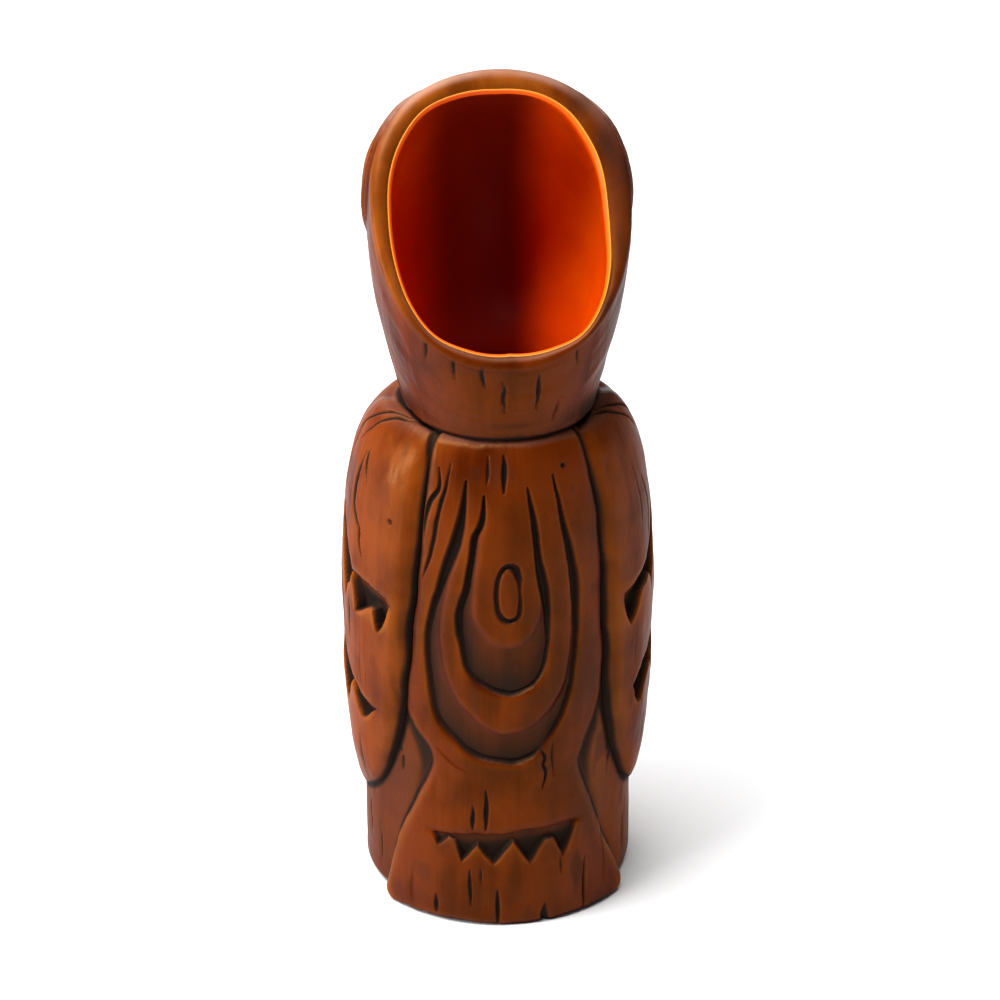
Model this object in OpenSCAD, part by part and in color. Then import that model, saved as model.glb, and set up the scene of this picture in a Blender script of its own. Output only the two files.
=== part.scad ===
// Carved-bird tiki mug. The fired mug is one ceramic casting: its carved elements are
// separate solids here, and they meet face to face.
// +Z is up. The origin is on the trunk's axis at the underside of the foot.
// -Y is the drinking side, where the back of the bird's head is open. +Y is the bird's face.

/* [Trunk] */
// Height of the trunk, from the table to the neck seam
trunk_h = 130; // [128:1:132]
// Radius of the trunk below the shoulders
trunk_r = 34; // [33.5:0.5:34.5]
// Height at which the shoulders start to round in
shoulder_z = 94; // [92:1:96]
// How far the shoulders round in at the neck
shoulder_in = 7; // [6.5:0.5:7.5]
// Thickness of the clay wall of the trunk
trunk_wall = 4.5; // [4:0.5:5]
// Thickness of the clay wall of the head
head_wall = 4; // [3.5:0.5:4.5]
// Thickness of the floor of the cup
floor_t = 5; // [4:0.5:6]
// Depth of the hollow under the foot
foot_hollow = 2; // [1.5:0.5:2.5]
// Rounding of the foot's outer edge
foot_round = 2.5; // [2:0.5:3]
// Thickness of the glaze lining
glaze_t = 0.5; // [0.4:0.1:0.6]

/* [Head] */
// Slope of the drinking opening above the horizontal, in degrees
mouth_slope = 56.5; // [55:0.5:58]
// Distance from the slope's hinge line to the back of the neck
neck_gap = 16; // [15.5:0.5:16.5]
// Length of the neck, from back to front
neck_len = 57; // [56:0.5:58]
// How far the top of the head stands beyond the neck, from the hinge line
head_far = 26; // [25.5:0.5:26.5]
// Half of the neck's width
neck_half_w = 23.5; // [23:0.5:24]
// Swell of the head's half width above the neck
head_swell = 8; // [7.5:0.5:8.5]
// Height of the rounded lip of the opening
lip_round = 1.8; // [1.5:0.1:2]

/* [Wings] */
// Outer radius of the wing at its fullest
wing_r = 39.2; // [39:0.1:39.4]
// Angle of the middle of a wing from the drinking side
wing_mid = 83; // [82:1:84]
// Height of the seam between shoulder and middle feathers
shoulder_seam_z = 88; // [87.5:0.5:88.5]
// Height of the seam between middle and tip feathers
tip_seam_z = 56; // [55.5:0.5:56.5]
// Depth of the splintered notches between the feathers
notch_depth = 2.6; // [2.2:0.2:3]

/* [Back] */
// How far the back slab stands out of the trunk
slab_t = 2; // [1.8:0.1:2.2]
// How far the tail stands out of the trunk at the foot
tail_t = 3.6; // [3.2:0.2:4]
// Height of the waist between slab and tail
waist_z = 44; // [43.5:0.5:44.5]
// Depth of the growth-ring grooves
groove_depth = 1.1; // [0.9:0.1:1.3]

/* [Face] */
// Angle of each eye from the drinking side
eye_angle = 128; // [127:1:129]
// Height of the middle of the eyes
eye_z = 184; // [183:1:185]
// Radius of the eye disc
eye_r = 13; // [12.5:0.5:13]
// Radius of the brow's round section
brow_r = 3.3; // [3:0.1:3.5]
// How far the breast stands out of the trunk
breast_t = 2.6; // [2.4:0.1:2.8]
// Radius of a toe
toe_r = 4.2; // [4:0.1:4.4]
// Angle between two toes of a foot
toe_spread = 11.5; // [11:0.5:12]
// Angle of each foot from the middle of the face side
foot_angle = 21; // [20:1:22]

/* [Hidden] */
$fn = 96;

brown = [0.42, 0.18, 0.07];
dark_brown = [0.26, 0.12, 0.06];
orange = [0.95, 0.33, 0.02];
bare_clay = [0.78, 0.66, 0.52];

arc_steps = 10;        // points along the shoulder's curve
around = 44;           // points around a ring of the head
up_steps = 11;         // rings from the neck to the opening
lip_steps = 4;         // rings across the lip
ring_power = 0.92;     // below 1 makes the head's rings a little squarer than an ellipse
far_angle = 112.5;     // how far the sine that rounds the head's front has run at the opening
far_power = 1.3;       // above 1 keeps the throat of the head close to the neck
swell_angle = 110;     // the same for the head's half width
swell_power = 1.4;
back_lean = 0.15;      // how far the back of the head leans out, for each mm of height
hinge_y = -30 - neck_gap;
wing_neck_r = 28;      // outer radius of the wing at the neck
wing_full_z = 78;      // height at which the wing is fullest
wing_low_z = 22;       // height at which the wing would run out into the trunk
wing_edge = 0.4;       // least thickness of a wing
eye_seat = 33.2;       // distance of the eye's middle from the trunk's axis
breast_half = 50;      // half of the breast's angle
breast_foot_z = 26;
skin_clear = 0.02;     // keeps faces of the breast and the toes from grazing
toe_start = 27;        // distance of a toe's root from the axis, inside the wall
toe_reach = 43;        // distance of a toe's tip from the axis
reach = 60;            // long enough to cut through anything from the axis outwards

// A point at an angle t from the drinking side, where +X is at 90 degrees.
function around_axis(r, t, z) = [r * sin(t), -r * cos(t), z];

// Share of the shoulder's rounding that is left at a height: 1 below it and 0 at the neck.
function shoulder_share(z) =
    z <= shoulder_z ? 1
    : sqrt(max(0, 1 - pow((z - shoulder_z) / (trunk_h - shoulder_z), 2)));
function trunk_outer(z) = trunk_r - shoulder_in * (1 - shoulder_share(z));
function trunk_inner(z) = trunk_outer(z) - trunk_wall;

// Heights with points packed towards the neck, where the curve turns fastest.
function shoulder_heights() =
    [for (i = [0 : arc_steps]) shoulder_z + (trunk_h - shoulder_z) * sin(90 * i / arc_steps)];
function foot_arc() =
    [for (a = [0 : 30 : 90])
        [trunk_r - foot_round + foot_round * sin(a), foot_round - foot_round * cos(a)]];
function heights_between(z0, z1, n) = [for (i = [0 : n]) z0 + (z1 - z0) * i / n];
function reversed(list) = [for (i = [len(list) - 1 : -1 : 0]) list[i]];

// Part of a ring around the axis, from angle t0 to t1.
module sector(profile, t0, t1) {
    rotate([0, 0, t0 - 90]) rotate_extrude(angle = t1 - t0) polygon(profile);
}

// Extrudes a flat outline outwards from the axis at an angle, with its Y up and its X along the skin.
module outwards(t) {
    rotate([0, 0, t]) rotate([90, 0, 0]) linear_extrude(height = reach) children();
}

module mirrored_pair(side) {
    if (side < 0) mirror([1, 0, 0]) children();
    else children();
}

// ---------------------------------------------------------------- trunk and lining

module trunk() {
    outer = concat(foot_arc(), [for (z = shoulder_heights()) [trunk_outer(z), z]]);
    inner = [for (z = shoulder_heights()) [trunk_inner(z), z]];
    color(brown)
        rotate_extrude()
            polygon(concat(outer, reversed(inner), [[trunk_r - trunk_wall, 0]]));
}

module foot_floor() {
    color(bare_clay)
        translate([0, 0, foot_hollow]) cylinder(r = trunk_r - trunk_wall, h = floor_t);
}

module lining_body() {
    bottom = foot_hollow + floor_t;
    inner_r = trunk_r - trunk_wall - glaze_t;
    corner = 3;
    skin = [for (z = shoulder_heights()) [trunk_inner(z), z]];
    hollow = [for (z = reversed(shoulder_heights())) [trunk_inner(z) - glaze_t, z]];
    corner_arc = [for (a = [0 : 30 : 90])
        [inner_r - corner + corner * cos(a), bottom + glaze_t + corner - corner * sin(a)]];
    color(orange)
        rotate_extrude()
            polygon(concat(
                [[0, bottom], [trunk_r - trunk_wall, bottom]], skin, hollow, corner_arc,
                [[0, bottom + glaze_t]]));
}

// ---------------------------------------------------------------- head

// The head's rings lie in planes that fan up from a level hinge line behind the neck:
// the first is the neck seam, and the last is the drinking opening.
function near_edge(b) = neck_gap / (cos(b) + back_lean * sin(b));
function far_edge(b) =
    neck_gap + neck_len + head_far * pow(sin(far_angle * b / mouth_slope), far_power);
function half_width(b) =
    neck_half_w + head_swell * pow(sin(swell_angle * b / mouth_slope), swell_power);
function signed_pow(v, p) = sign(v) * pow(abs(v), p);

// A point of the ring at slope b, at an angle a around it. inset moves it in through the wall,
// and lift moves it off the ring's plane.
function head_point(b, a, inset, lift) =
    let (near = near_edge(b) + inset,
         far = far_edge(b) - inset,
         half_w = half_width(b) - inset,
         share = b / mouth_slope,
         upper = (1 - share) * (far - near) / 2 + share * half_w,
         middle = far - upper,
         c = signed_pow(cos(a), ring_power),
         rho = middle - c * (c > 0 ? middle - near : upper))
    [half_w * signed_pow(sin(a), ring_power),
     hinge_y + rho * cos(b) - lift * sin(b),
     trunk_h + rho * sin(b) + lift * cos(b)];

function head_ring(row) =
    [for (i = [0 : around - 1]) head_point(row[0], 360 * i / around, row[1], row[2])];

// A closed ring of rings, as a tube's wall.
module ring_shell(rows) {
    rings = [for (row = rows) each head_ring(row)];
    n = len(rows);
    polyhedron(
        points = rings,
        faces = [for (j = [0 : n - 1], i = [0 : around - 1])
            let (k = (j + 1) % n, m = (i + 1) % around)
            each [[j * around + i, k * around + i, k * around + m],
                  [j * around + i, k * around + m, j * around + m]]]);
}

function slopes() = [for (i = [0 : up_steps]) mouth_slope * i / up_steps];

module head_shell() {
    outside = [for (b = slopes()) [b, 0, 0]];
    lip = [for (i = [1 : lip_steps - 1])
        let (a = 180 * i / lip_steps)
        [mouth_slope, head_wall * (1 - cos(a)) / 2, lip_round * sin(a)]];
    inside = [for (b = reversed(slopes())) [b, head_wall, 0]];
    color(brown) ring_shell(concat(outside, lip, inside));
}

module lining_head() {
    skin = [for (b = slopes()) [b, head_wall, 0]];
    hollow = [for (b = reversed(slopes())) [b, head_wall + glaze_t, 0]];
    color(orange) ring_shell(concat(skin, hollow));
}

// The head as a solid, to cut what sits on it to its surface.
module head_solid() {
    rings = [for (b = slopes()) each head_ring([b, 0, 0])];
    last = up_steps * around;
    sides = [for (j = [0 : up_steps - 1], i = [0 : around - 1])
        let (m = (i + 1) % around)
        each [[j * around + i, (j + 1) * around + i, (j + 1) * around + m],
              [j * around + i, (j + 1) * around + m, j * around + m]]];
    polyhedron(
        points = rings,
        faces = concat(sides, [[for (i = [0 : around - 1]) i]],
                       [[for (i = [around - 1 : -1 : 0]) last + i]]));
}

// ---------------------------------------------------------------- wings

// Outer radius of the wing at a height.
function wing_outer(z) =
    z > shoulder_seam_z
        ? wing_neck_r + (wing_r - 1 - wing_neck_r)
            * sqrt(max(0, 1 - pow((z - shoulder_seam_z) / (trunk_h - shoulder_seam_z), 2)))
    : z > tip_seam_z
        ? wing_r - 1.2 * pow((z - wing_full_z) / (wing_full_z - tip_seam_z), 2)
    : trunk_r + wing_edge
        + (wing_r - 1.2 - trunk_r - wing_edge)
            * sin(90 * (z - wing_low_z) / (tip_seam_z - wing_low_z));

// Side view of the whole wing, with X along the skin from the middle of the wing.
wing_outline = [
    [-27.5, 130], [-26, 100], [-24.5, 70], [-23.5, 57], [-20.5, 47], [-13.5, 31],
    [1, 24.5], [14, 30], [22, 50], [26, 80], [27, 130]
];
// Splintered edges of the two notches, seen the same way.
middle_notch = [
    [-21.5, 89], [-21.5, 84], [-18, 77], [-16.5, 82.5], [-15, 82.5], [-10, 79],
    [-7, 87], [-3, 83], [1, 86.5], [5, 80], [9, 85], [14, 79], [18, 84], [21, 89]
];
tip_notch = [
    [-18, 57], [-12.5, 50.5], [-9, 54.5], [-6, 51], [-2, 55], [3, 49], [7, 54],
    [11, 48.5], [14, 53], [17, 57]
];

module wing_band(z0, z1) {
    steps = 10;
    heights = heights_between(z0, z1, steps);
    inner = [for (z = reversed(heights)) [trunk_outer(z), z]];
    outer = [for (z = heights) [max(wing_outer(z), trunk_outer(z) + wing_edge), z]];
    intersection() {
        sector(concat(outer, inner), wing_mid - 62, wing_mid + 62);
        outwards(wing_mid) polygon(wing_outline);
    }
}

// Takes a notch out of a band, down to notch_depth below the wing's fullest radius.
module notched(edge) {
    difference() {
        children();
        difference() {
            outwards(wing_mid) polygon(edge);
            cylinder(r = wing_r - notch_depth, h = trunk_h);
        }
    }
}

module wing_shoulder(side) {
    color(brown) mirrored_pair(side) wing_band(shoulder_seam_z, trunk_h - 0.5);
}
module wing_middle(side) {
    color(brown) mirrored_pair(side) notched(middle_notch) wing_band(tip_seam_z, shoulder_seam_z);
}
module wing_tip(side) {
    color(brown) mirrored_pair(side) notched(tip_notch) wing_band(24, tip_seam_z);
}

// ---------------------------------------------------------------- back slab and tail

slab_outline = [
    [17, 130], [19.5, 120], [21, 100], [22, 75], [23, 57], [22, 52], [19.5, 47.5], [18.5, 44]
];
tail_outline = [
    [18.5, 44], [20.5, 39], [24, 26], [27, 14], [29, 4], [29.5, 0]
];
tail_notch = [
    [-19.5, 25.5], [-17.5, 21.5], [-15, 23.5], [-13.5, 23], [-11.5, 18], [-8, 23],
    [-3.8, 17.5], [1, 23.7], [5.2, 17.8], [8.6, 23.3], [10.4, 23.1], [13, 18.2],
    [17, 27], [6, 27], [-5, 26]
];

module outlined(half) {
    full = concat(half, [for (p = reversed(half)) [-p[0], p[1]]]);
    outwards(0) polygon(full);
}

// A capsule-shaped outline, as wide as 2 r and h high between its round ends.
module capsule(r, h) {
    circle(r = r);
    translate([-r, 0]) square([2 * r, h]);
    translate([0, h]) circle(r = r);
}

// A growth-ring groove, between two capsules.
module ring_groove(low, r, h, w) {
    translate([0, low]) difference() {
        capsule(r, h);
        capsule(r - w, h);
    }
}

// Keeps a cutter to the outermost layer of the back.
module skin_only(r) {
    difference() {
        children();
        translate([0, 0, -1]) cylinder(r = r, h = trunk_h + 2);
    }
}

module back_slab() {
    heights = concat([waist_z], shoulder_heights());
    inner = [for (z = reversed(heights)) [trunk_outer(z), z]];
    outer = [for (z = heights) [trunk_outer(z) + slab_t, z]];
    color(brown)
        difference() {
            intersection() {
                sector(concat(outer, inner), -58, 58);
                outlined(slab_outline);
            }
            skin_only(trunk_r + slab_t - groove_depth) {
                outwards(0) {
                    ring_groove(90, 3.6, 6, 1.4);
                    ring_groove(75.5, 10, 26, 2.2);
                    ring_groove(65, 18, 30, 2.6);
                }
            }
        }
}

module tail() {
    foot_r = trunk_r + tail_t;
    color(brown)
        difference() {
            intersection() {
                sector([
                    [trunk_r, foot_round], [foot_r - 1.5, 0.2], [foot_r, 1.7],
                    [foot_r - 0.2, 12], [trunk_r + slab_t, 34], [trunk_r + slab_t, waist_z],
                    [trunk_r, waist_z]
                ], -70, 70);
                outlined(tail_outline);
            }
            skin_only(trunk_r + slab_t - groove_depth) outwards(0) polygon(tail_notch);
        }
}

// ---------------------------------------------------------------- breast and feet

module breast() {
    heights = concat([breast_foot_z, breast_foot_z + 6], [for (z = shoulder_heights()) if (z < 126) z]);
    inner = [for (z = reversed(heights)) [trunk_outer(z) + skin_clear, z]];
    outer = [for (z = heights)
        [trunk_outer(z) + (z == breast_foot_z ? 1 : breast_t), z]];
    color(brown) sector(concat(outer, inner), 180 - breast_half, 180 + breast_half);
}

// A straight toe with a round end, from inside the trunk's wall outwards.
module toe(angle) {
    tip_r = toe_r - 0.4;
    length = toe_reach - toe_start - tip_r;
    rotate([0, 0, angle - 90])
        translate([toe_start, 0, toe_r]) {
            rotate([0, 90, 0]) cylinder(r1 = toe_r, r2 = tip_r, h = length);
            translate([length, 0, 0]) sphere(r = tip_r);
        }
}

// Three toes that grip the front of the foot. They merge where they leave the trunk.
module bird_foot(side) {
    color(dark_brown) mirrored_pair(side) difference() {
        for (step = [-1 : 1]) toe(180 - foot_angle + step * toe_spread);
        cylinder(r = trunk_r + skin_clear, h = trunk_h);
    }
}

// ---------------------------------------------------------------- face

// A tube of oval sections that follows a curve in the plane of symmetry.
beak_sides = 20;
beak_steps = 8;
function curve(p, t) =
    pow(1 - t, 2) * p[0] + 2 * t * (1 - t) * p[1] + t * t * p[2];
function curve_dir(p, t) =
    let (d = 2 * (1 - t) * (p[1] - p[0]) + 2 * t * (p[2] - p[1])) d / norm(d);

module beak(path, half_w, half_h, tip) {
    rings = [for (j = [0 : beak_steps])
        let (t = j / beak_steps,
             at = curve(path, t),
             d = curve_dir(path, t),
             taper = tip + (1 - tip) * pow(1 - t, 0.8))
        each [for (i = [0 : beak_sides - 1])
            let (a = 360 * i / beak_sides,
                 side = half_w * taper * cos(a),
                 up = half_h * taper * sin(a))
            [side, at[0] - d[1] * up, at[1] + d[0] * up]]];
    last = beak_steps * beak_sides;
    polyhedron(
        points = rings,
        faces = concat(
            [for (j = [0 : beak_steps - 1], i = [0 : beak_sides - 1])
                let (m = (i + 1) % beak_sides)
                each [[j * beak_sides + i, j * beak_sides + m, (j + 1) * beak_sides + m],
                      [j * beak_sides + i, (j + 1) * beak_sides + m, (j + 1) * beak_sides + i]]],
            [[for (i = [beak_sides - 1 : -1 : 0]) i]],
            [[for (i = [0 : beak_sides - 1]) last + i]]));
}

upper_path = [[25, 175], [56, 184], [49, 149]];
lower_path = [[22, 160], [41, 162], [45, 152]];

module upper_bill(gap) {
    beak(upper_path, 11.5 + gap, 13 + gap, 0.14);
}

module beak_upper() {
    color(dark_brown) difference() {
        upper_bill(0);
        head_solid();
    }
}

module beak_lower() {
    color(dark_brown) difference() {
        beak(lower_path, 9, 7, 0.35);
        head_solid();
        upper_bill(0.1);
    }
}

// Turns an eye's axis from +Z to point outwards at the eye's place.
module at_eye(side) {
    mirrored_pair(side)
        translate(around_axis(eye_seat, eye_angle, eye_z))
            rotate([0, 0, eye_angle - 90]) rotate([0, 78, 0]) children();
}

module eye(side) {
    color(dark_brown) difference() {
        at_eye(side) rotate_extrude() polygon([
            [0, -12], [eye_r, -12], [eye_r, -0.6], [eye_r - 1.6, 0.9], [eye_r - 3.6, 0.9],
            [eye_r - 5, -0.4], [6.2, 0.4], [5.2, 2.2], [2.5, 3], [0, 3.1]
        ]);
        head_solid();
    }
}

module brow(side) {
    color(brown) difference() {
        at_eye(side) rotate([0, 0, 40]) rotate_extrude(angle = 215)
            translate([eye_r + brow_r + 0.1, -2]) circle(r = brow_r);
        head_solid();
    }
}

// ---------------------------------------------------------------- the part

trunk();
foot_floor();
lining_body();
head_shell();
lining_head();
back_slab();
tail();
wing_shoulder(-1);  // wing_left_shoulder
wing_middle(-1);  // wing_left_middle
wing_tip(-1);  // wing_left_tip
wing_shoulder(1);  // wing_right_shoulder
wing_middle(1);  // wing_right_middle
wing_tip(1);  // wing_right_tip
breast();
beak_upper();
beak_lower();
eye(-1);  // eye_left
eye(1);  // eye_right
brow(-1);  // brow_left
brow(1);  // brow_right
bird_foot(-1);  // foot_left
bird_foot(1);  // foot_right
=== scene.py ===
"""The looks of a ceramic tiki mug, carved like a wooden bird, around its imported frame.

The outside of the mug is two skins: one around the body and one around the head. A skin is a fine grid over a
smooth base surface, with a height at each point that carries the carving. Each piece is cut out of a skin
along its outline and closed behind, so neighbouring pieces share one continuous surface.

Lengths are in millimetres until a mesh is made. Angles are in degrees from the drinking side (-Y) towards +X.
"""

import math

import bpy
import numpy as np
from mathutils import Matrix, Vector


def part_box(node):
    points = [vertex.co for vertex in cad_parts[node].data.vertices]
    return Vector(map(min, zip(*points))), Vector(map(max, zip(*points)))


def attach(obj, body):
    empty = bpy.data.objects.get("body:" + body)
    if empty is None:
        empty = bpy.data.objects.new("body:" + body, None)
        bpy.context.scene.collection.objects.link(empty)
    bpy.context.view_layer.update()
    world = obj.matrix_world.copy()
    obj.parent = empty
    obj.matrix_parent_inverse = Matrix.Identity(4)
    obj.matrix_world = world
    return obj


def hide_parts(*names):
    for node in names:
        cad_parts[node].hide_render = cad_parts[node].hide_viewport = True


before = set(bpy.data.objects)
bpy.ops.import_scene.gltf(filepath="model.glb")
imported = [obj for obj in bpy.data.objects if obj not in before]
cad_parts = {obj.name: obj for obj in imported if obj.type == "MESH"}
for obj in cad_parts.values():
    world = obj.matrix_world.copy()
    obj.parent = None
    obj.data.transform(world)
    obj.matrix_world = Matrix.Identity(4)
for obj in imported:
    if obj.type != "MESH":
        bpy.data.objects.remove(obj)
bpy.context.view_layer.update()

MM = 0.001
FAR = 1e3
TINY = 1e-9


def cad_corners(node):
    """Lowest and highest corners of a CAD node, in millimetres."""
    low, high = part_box(node)
    return np.array(low) / MM, np.array(high) / MM


# ---------------------------------------------------------------- dimensions

TRUNK_R = cad_corners("trunk")[1][0]
TRUNK_H = cad_corners("trunk")[1][2]
CUP_R = cad_corners("foot_floor")[1][0]
FLOOR_LOW = cad_corners("foot_floor")[0][2]
FLOOR_TOP = cad_corners("foot_floor")[1][2]
SHOULDER_Z = 94.0
SHOULDER_IN = 7.0
NECK_RUN = 4.5           # how far the top of the shoulders runs in under the head
TRUNK_WALL = 4.5
BORE_R = TRUNK_R - SHOULDER_IN - TRUNK_WALL    # the neck's inside
FOOT_ROUND = 2.5
GLAZE_T = 0.5
SHOULDER_SEAM = 88.07    # heights of the seams, set off the grid's rows
TIP_SEAM = 56.07
WAIST_SEAM = 44.07
SLAB_TOP = 131.5         # how far up the skin the slab and the wings reach
WING_TOP = 135.8
SLAB_T = 2.0
TAIL_T = 3.5
BREAST_T = 2.5
LINE_WIDEN = 1.05        # how much wider than its table says a carved line is
INK_SPREAD = 1.4         # how much wider than a carved line its wash is
EMBED = 0.4              # how far a piece reaches into the clay behind it
ARC = math.radians(1) * 36.0   # length of one degree on the body's skin

MOUTH_SLOPE = math.radians(56.5)
NECK_GAP = 16.0
NECK_LEN = 57.0
HEAD_FAR = 26.0
NECK_HALF_W = 23.5
HEAD_SWELL = 8.0
HINGE_Y = -30.0 - NECK_GAP
HEAD_WALL = 4.0
BACK_LEAN = 0.15         # how much the back of the head leans out over the drinking side
FAR_ANGLE = math.radians(112.5)
FAR_POWER = 1.3
SWELL_ANGLE = math.radians(110)
SWELL_POWER = 1.4
RING_POWER = 0.92        # below 1 the head's rings are a little squared
LIP_ROUND = 1.8
HEAD_SIZE = (60.0, 195.0)      # about how high the head's skin is, and how far round


# ---------------------------------------------------------------- numbers

def smooth(x, low=0.0, high=1.0):
    """0 below low, 1 above high, and an even S between them."""
    t = np.clip((x - low) / (high - low), 0, 1)
    return t * t * (3 - 2 * t)


def near(value, width):
    """1 where value is 0, and evenly down to 0 where it is width away."""
    return np.clip(1 - np.abs(value) / width, 0, 1)


def dome(value, width, power=1.0):
    """The same with a round top. A power below 1 makes it fuller."""
    return np.clip(1 - (value / width) ** 2, 0, 1) ** power


def highest(first, *others):
    """The highest of some fields at each point."""
    for field in others:
        first = np.maximum(first, field)
    return first


def rounded(inside_by, width):
    """A quarter circle's rise: 0 at an edge, 1 once inside it by width."""
    t = np.clip(inside_by / width, 0, 1)
    return np.sqrt(1 - (1 - t) ** 2)


def unit(vectors):
    """The vectors at a length of 1."""
    return vectors / np.maximum(np.linalg.norm(vectors, axis=-1, keepdims=True), TINY)


def around(radius, height, angle):
    """Points at angles (in radians) about the mug's axis."""
    return np.stack([radius * np.sin(angle), -radius * np.cos(angle), height + 0 * angle], axis=-1)


def curve(points, steps=6):
    """A smooth line through the points."""
    p = np.array(points, float)
    p = np.concatenate([2 * p[:1] - p[1:2], p, 2 * p[-1:] - p[-2:-1]])
    t = np.linspace(0, 1, steps, endpoint=False)[:, None]
    parts = []
    for a, b, c, d in zip(p[:-3], p[1:-2], p[2:-1], p[3:]):
        parts.append(0.5 * (2 * b + (c - a) * t + (2 * a - 5 * b + 4 * c - d) * t ** 2
                            + (3 * b - a - 3 * c + d) * t ** 3))
    parts.append(p[-2:-1])
    return np.concatenate(parts)


def along(x, points):
    """The value at x of a smooth line through (x, value) points."""
    line = curve(points)
    return np.interp(x, line[:, 0], line[:, 1])


def noise(shape, cell, seed):
    """Soft hills between -1 and 1. cell is the number of grid points from hill to hill, down and across."""
    rows, columns = shape
    draw = np.random.default_rng(seed)
    down = max(3, int(rows / cell[0]) + 2)
    across = max(3, int(columns / cell[1]))
    knots = draw.uniform(-1, 1, (down, across))
    knots = np.concatenate([knots, knots[:, :1]], axis=1)
    at_x = np.linspace(0, across, columns, endpoint=False)
    at_y = np.linspace(0, down - 1.001, rows)
    ix, iy = at_x.astype(int), at_y.astype(int)
    fx = smooth(at_x - ix)[None, :]
    fy = smooth(at_y - iy)[:, None]
    top = knots[iy][:, ix] * (1 - fx) + knots[iy][:, ix + 1] * fx
    low = knots[iy + 1][:, ix] * (1 - fx) + knots[iy + 1][:, ix + 1] * fx
    return top * (1 - fy) + low * fy


def blur(field, down, across):
    """The field softened by a bell of the given widths in grid points. It wraps round across its columns."""
    for axis, width in ((0, down), (1, across)):
        reach = max(1, int(2.5 * width))
        padding = [(0, 0), (0, 0)]
        padding[axis] = (reach, reach)
        padded = np.pad(field, padding, mode=("edge", "wrap")[axis])
        size = field.shape[axis]
        total = np.zeros_like(field)
        weight = 0.0
        for k in range(-reach, reach + 1):
            w = math.exp(-0.5 * (k / width) ** 2)
            total += w * padded.take(range(reach + k, reach + k + size), axis)
            weight += w
        field = total / weight
    return field


# ---------------------------------------------------------------- skins

class Skin:
    """A grid over a base surface: rows go up, and columns go right round. size is its height and girth."""

    def __init__(self, angles, ups, place, wobble, size):
        self.angle, self.up = np.meshgrid(angles, ups)
        self.shape = self.angle.shape
        self.step = (size[0] / self.shape[0], size[1] / self.shape[1])
        self.place = place
        self.base = place(self.angle, self.up)
        self.out = directions(self.base)
        drift_a = noise(self.shape, (26, 26), 3) + 0.4 * noise(self.shape, (9, 9), 4)
        drift_u = noise(self.shape, (30, 24), 5) + 0.4 * noise(self.shape, (9, 9), 6)
        self.drawn_angle = self.angle + wobble[0] * drift_a
        self.drawn_up = self.up + wobble[1] * drift_u
        self.spots = place(self.drawn_angle, self.drawn_up).reshape(-1, 3)
        self.cut = np.zeros(self.shape)
        self.ink_and_shade = np.zeros(self.shape)

    def lifted(self, height):
        return self.base + self.out * height[..., None]

    def softened(self, field, width):
        """A field blurred by a width in mm."""
        return blur(field, width / self.step[0], width / self.step[1])

    def mark(self, cut, ink_and_shade):
        """Cuts at least this deep, and darkens at least this much with wash and painted shade."""
        self.cut = np.maximum(self.cut, cut)
        self.ink_and_shade = np.maximum(self.ink_and_shade, ink_and_shade)


def directions(points):
    """The outward direction at each point of a surface on a grid."""
    across = np.roll(points, -1, 1) - np.roll(points, 1, 1)
    return unit(np.cross(across, np.gradient(points, axis=0)))


def carve(skin, path, deep, ink_and_shade=1.0, pointed=True):
    """Carves a line into a skin along a path of (angle, up, half width) points."""
    route = curve(path) if len(path) > 2 else np.array(path, float)
    spots = skin.place(route[:, 0], route[:, 1])
    half = route[:, 2] * LINE_WIDEN
    widest = half.max()
    pad = widest * INK_SPREAD
    close = np.all((skin.spots > spots.min(0) - pad) & (skin.spots < spots.max(0) + pad), axis=1)
    index = np.flatnonzero(close)
    at = skin.spots[index]
    best = np.zeros(len(index))
    wet = np.zeros(len(index))
    for p, q, half_p, half_q in zip(spots[:-1], spots[1:], half[:-1], half[1:]):
        step = q - p
        t = np.clip((at - p) @ step / max(step @ step, TINY), 0, 1)
        d = np.linalg.norm(at - p - t[:, None] * step, axis=1)
        h = np.maximum(half_p + (half_q - half_p) * t, 0.05)
        thin = np.minimum(1, h / widest) ** 0.6 if pointed else 1.0
        best = np.maximum(best, dome(d, h, 1.5) * thin)
        wet = np.maximum(wet, dome(d, h * INK_SPREAD, 1.5) * thin)
    for field, amount in ((skin.cut, best * deep), (skin.ink_and_shade, wet * ink_and_shade)):
        flat = field.reshape(-1)
        flat[index] = np.maximum(flat[index], amount)


def mirrored(points, side):
    """The points as they are where side is 1, and swapped left for right where it is -1."""
    return [(side * p[0], *p[1:]) for p in points]


def carve_lines(skin, lines, side=1, pointed=True):
    """Carves each (depth, wash and painted shade, point, point, ...) line of a table."""
    for deep, ink_and_shade, *path in lines:
        carve(skin, mirrored(path, side), deep, ink_and_shade, pointed)


def flat_points(skin, turn):
    """The skin's points on a flat sheet, in mm across from the angle turn, and mm up."""
    x = ((skin.drawn_angle - turn + 180) % 360 - 180) * ARC
    return x, skin.drawn_up


def flat_corners(outline):
    return np.array(outline, float)[:, :2] * [ARC, 1]


def inside(skin, outline, turn=0.0):
    """How far each point is inside an outline of (angle from turn, up) points. It is below 0 outside."""
    corners = flat_corners(outline)
    x, y = flat_points(skin, turn)
    pad = 9.0
    (left, low), (right, high) = corners.min(axis=0), corners.max(axis=0)
    window = (x > left - pad) & (x < right + pad) & (y > low - pad) & (y < high + pad)
    x, y = x[window], y[window]
    nearest = np.full(x.shape, FAR)
    odd = np.zeros(x.shape, bool)
    for (x0, y0), (x1, y1) in zip(corners, np.roll(corners, -1, axis=0)):
        nearest = np.minimum(nearest, segment_distance(x, y, (x0, y0), (x1, y1)))
        if y1 != y0:
            odd ^= ((y0 > y) != (y1 > y)) & (x < (x1 - x0) * (y - y0) / (y1 - y0) + x0)
    result = np.full(skin.shape, -FAR)
    result[window] = np.where(odd, nearest, -nearest)
    return result


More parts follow.
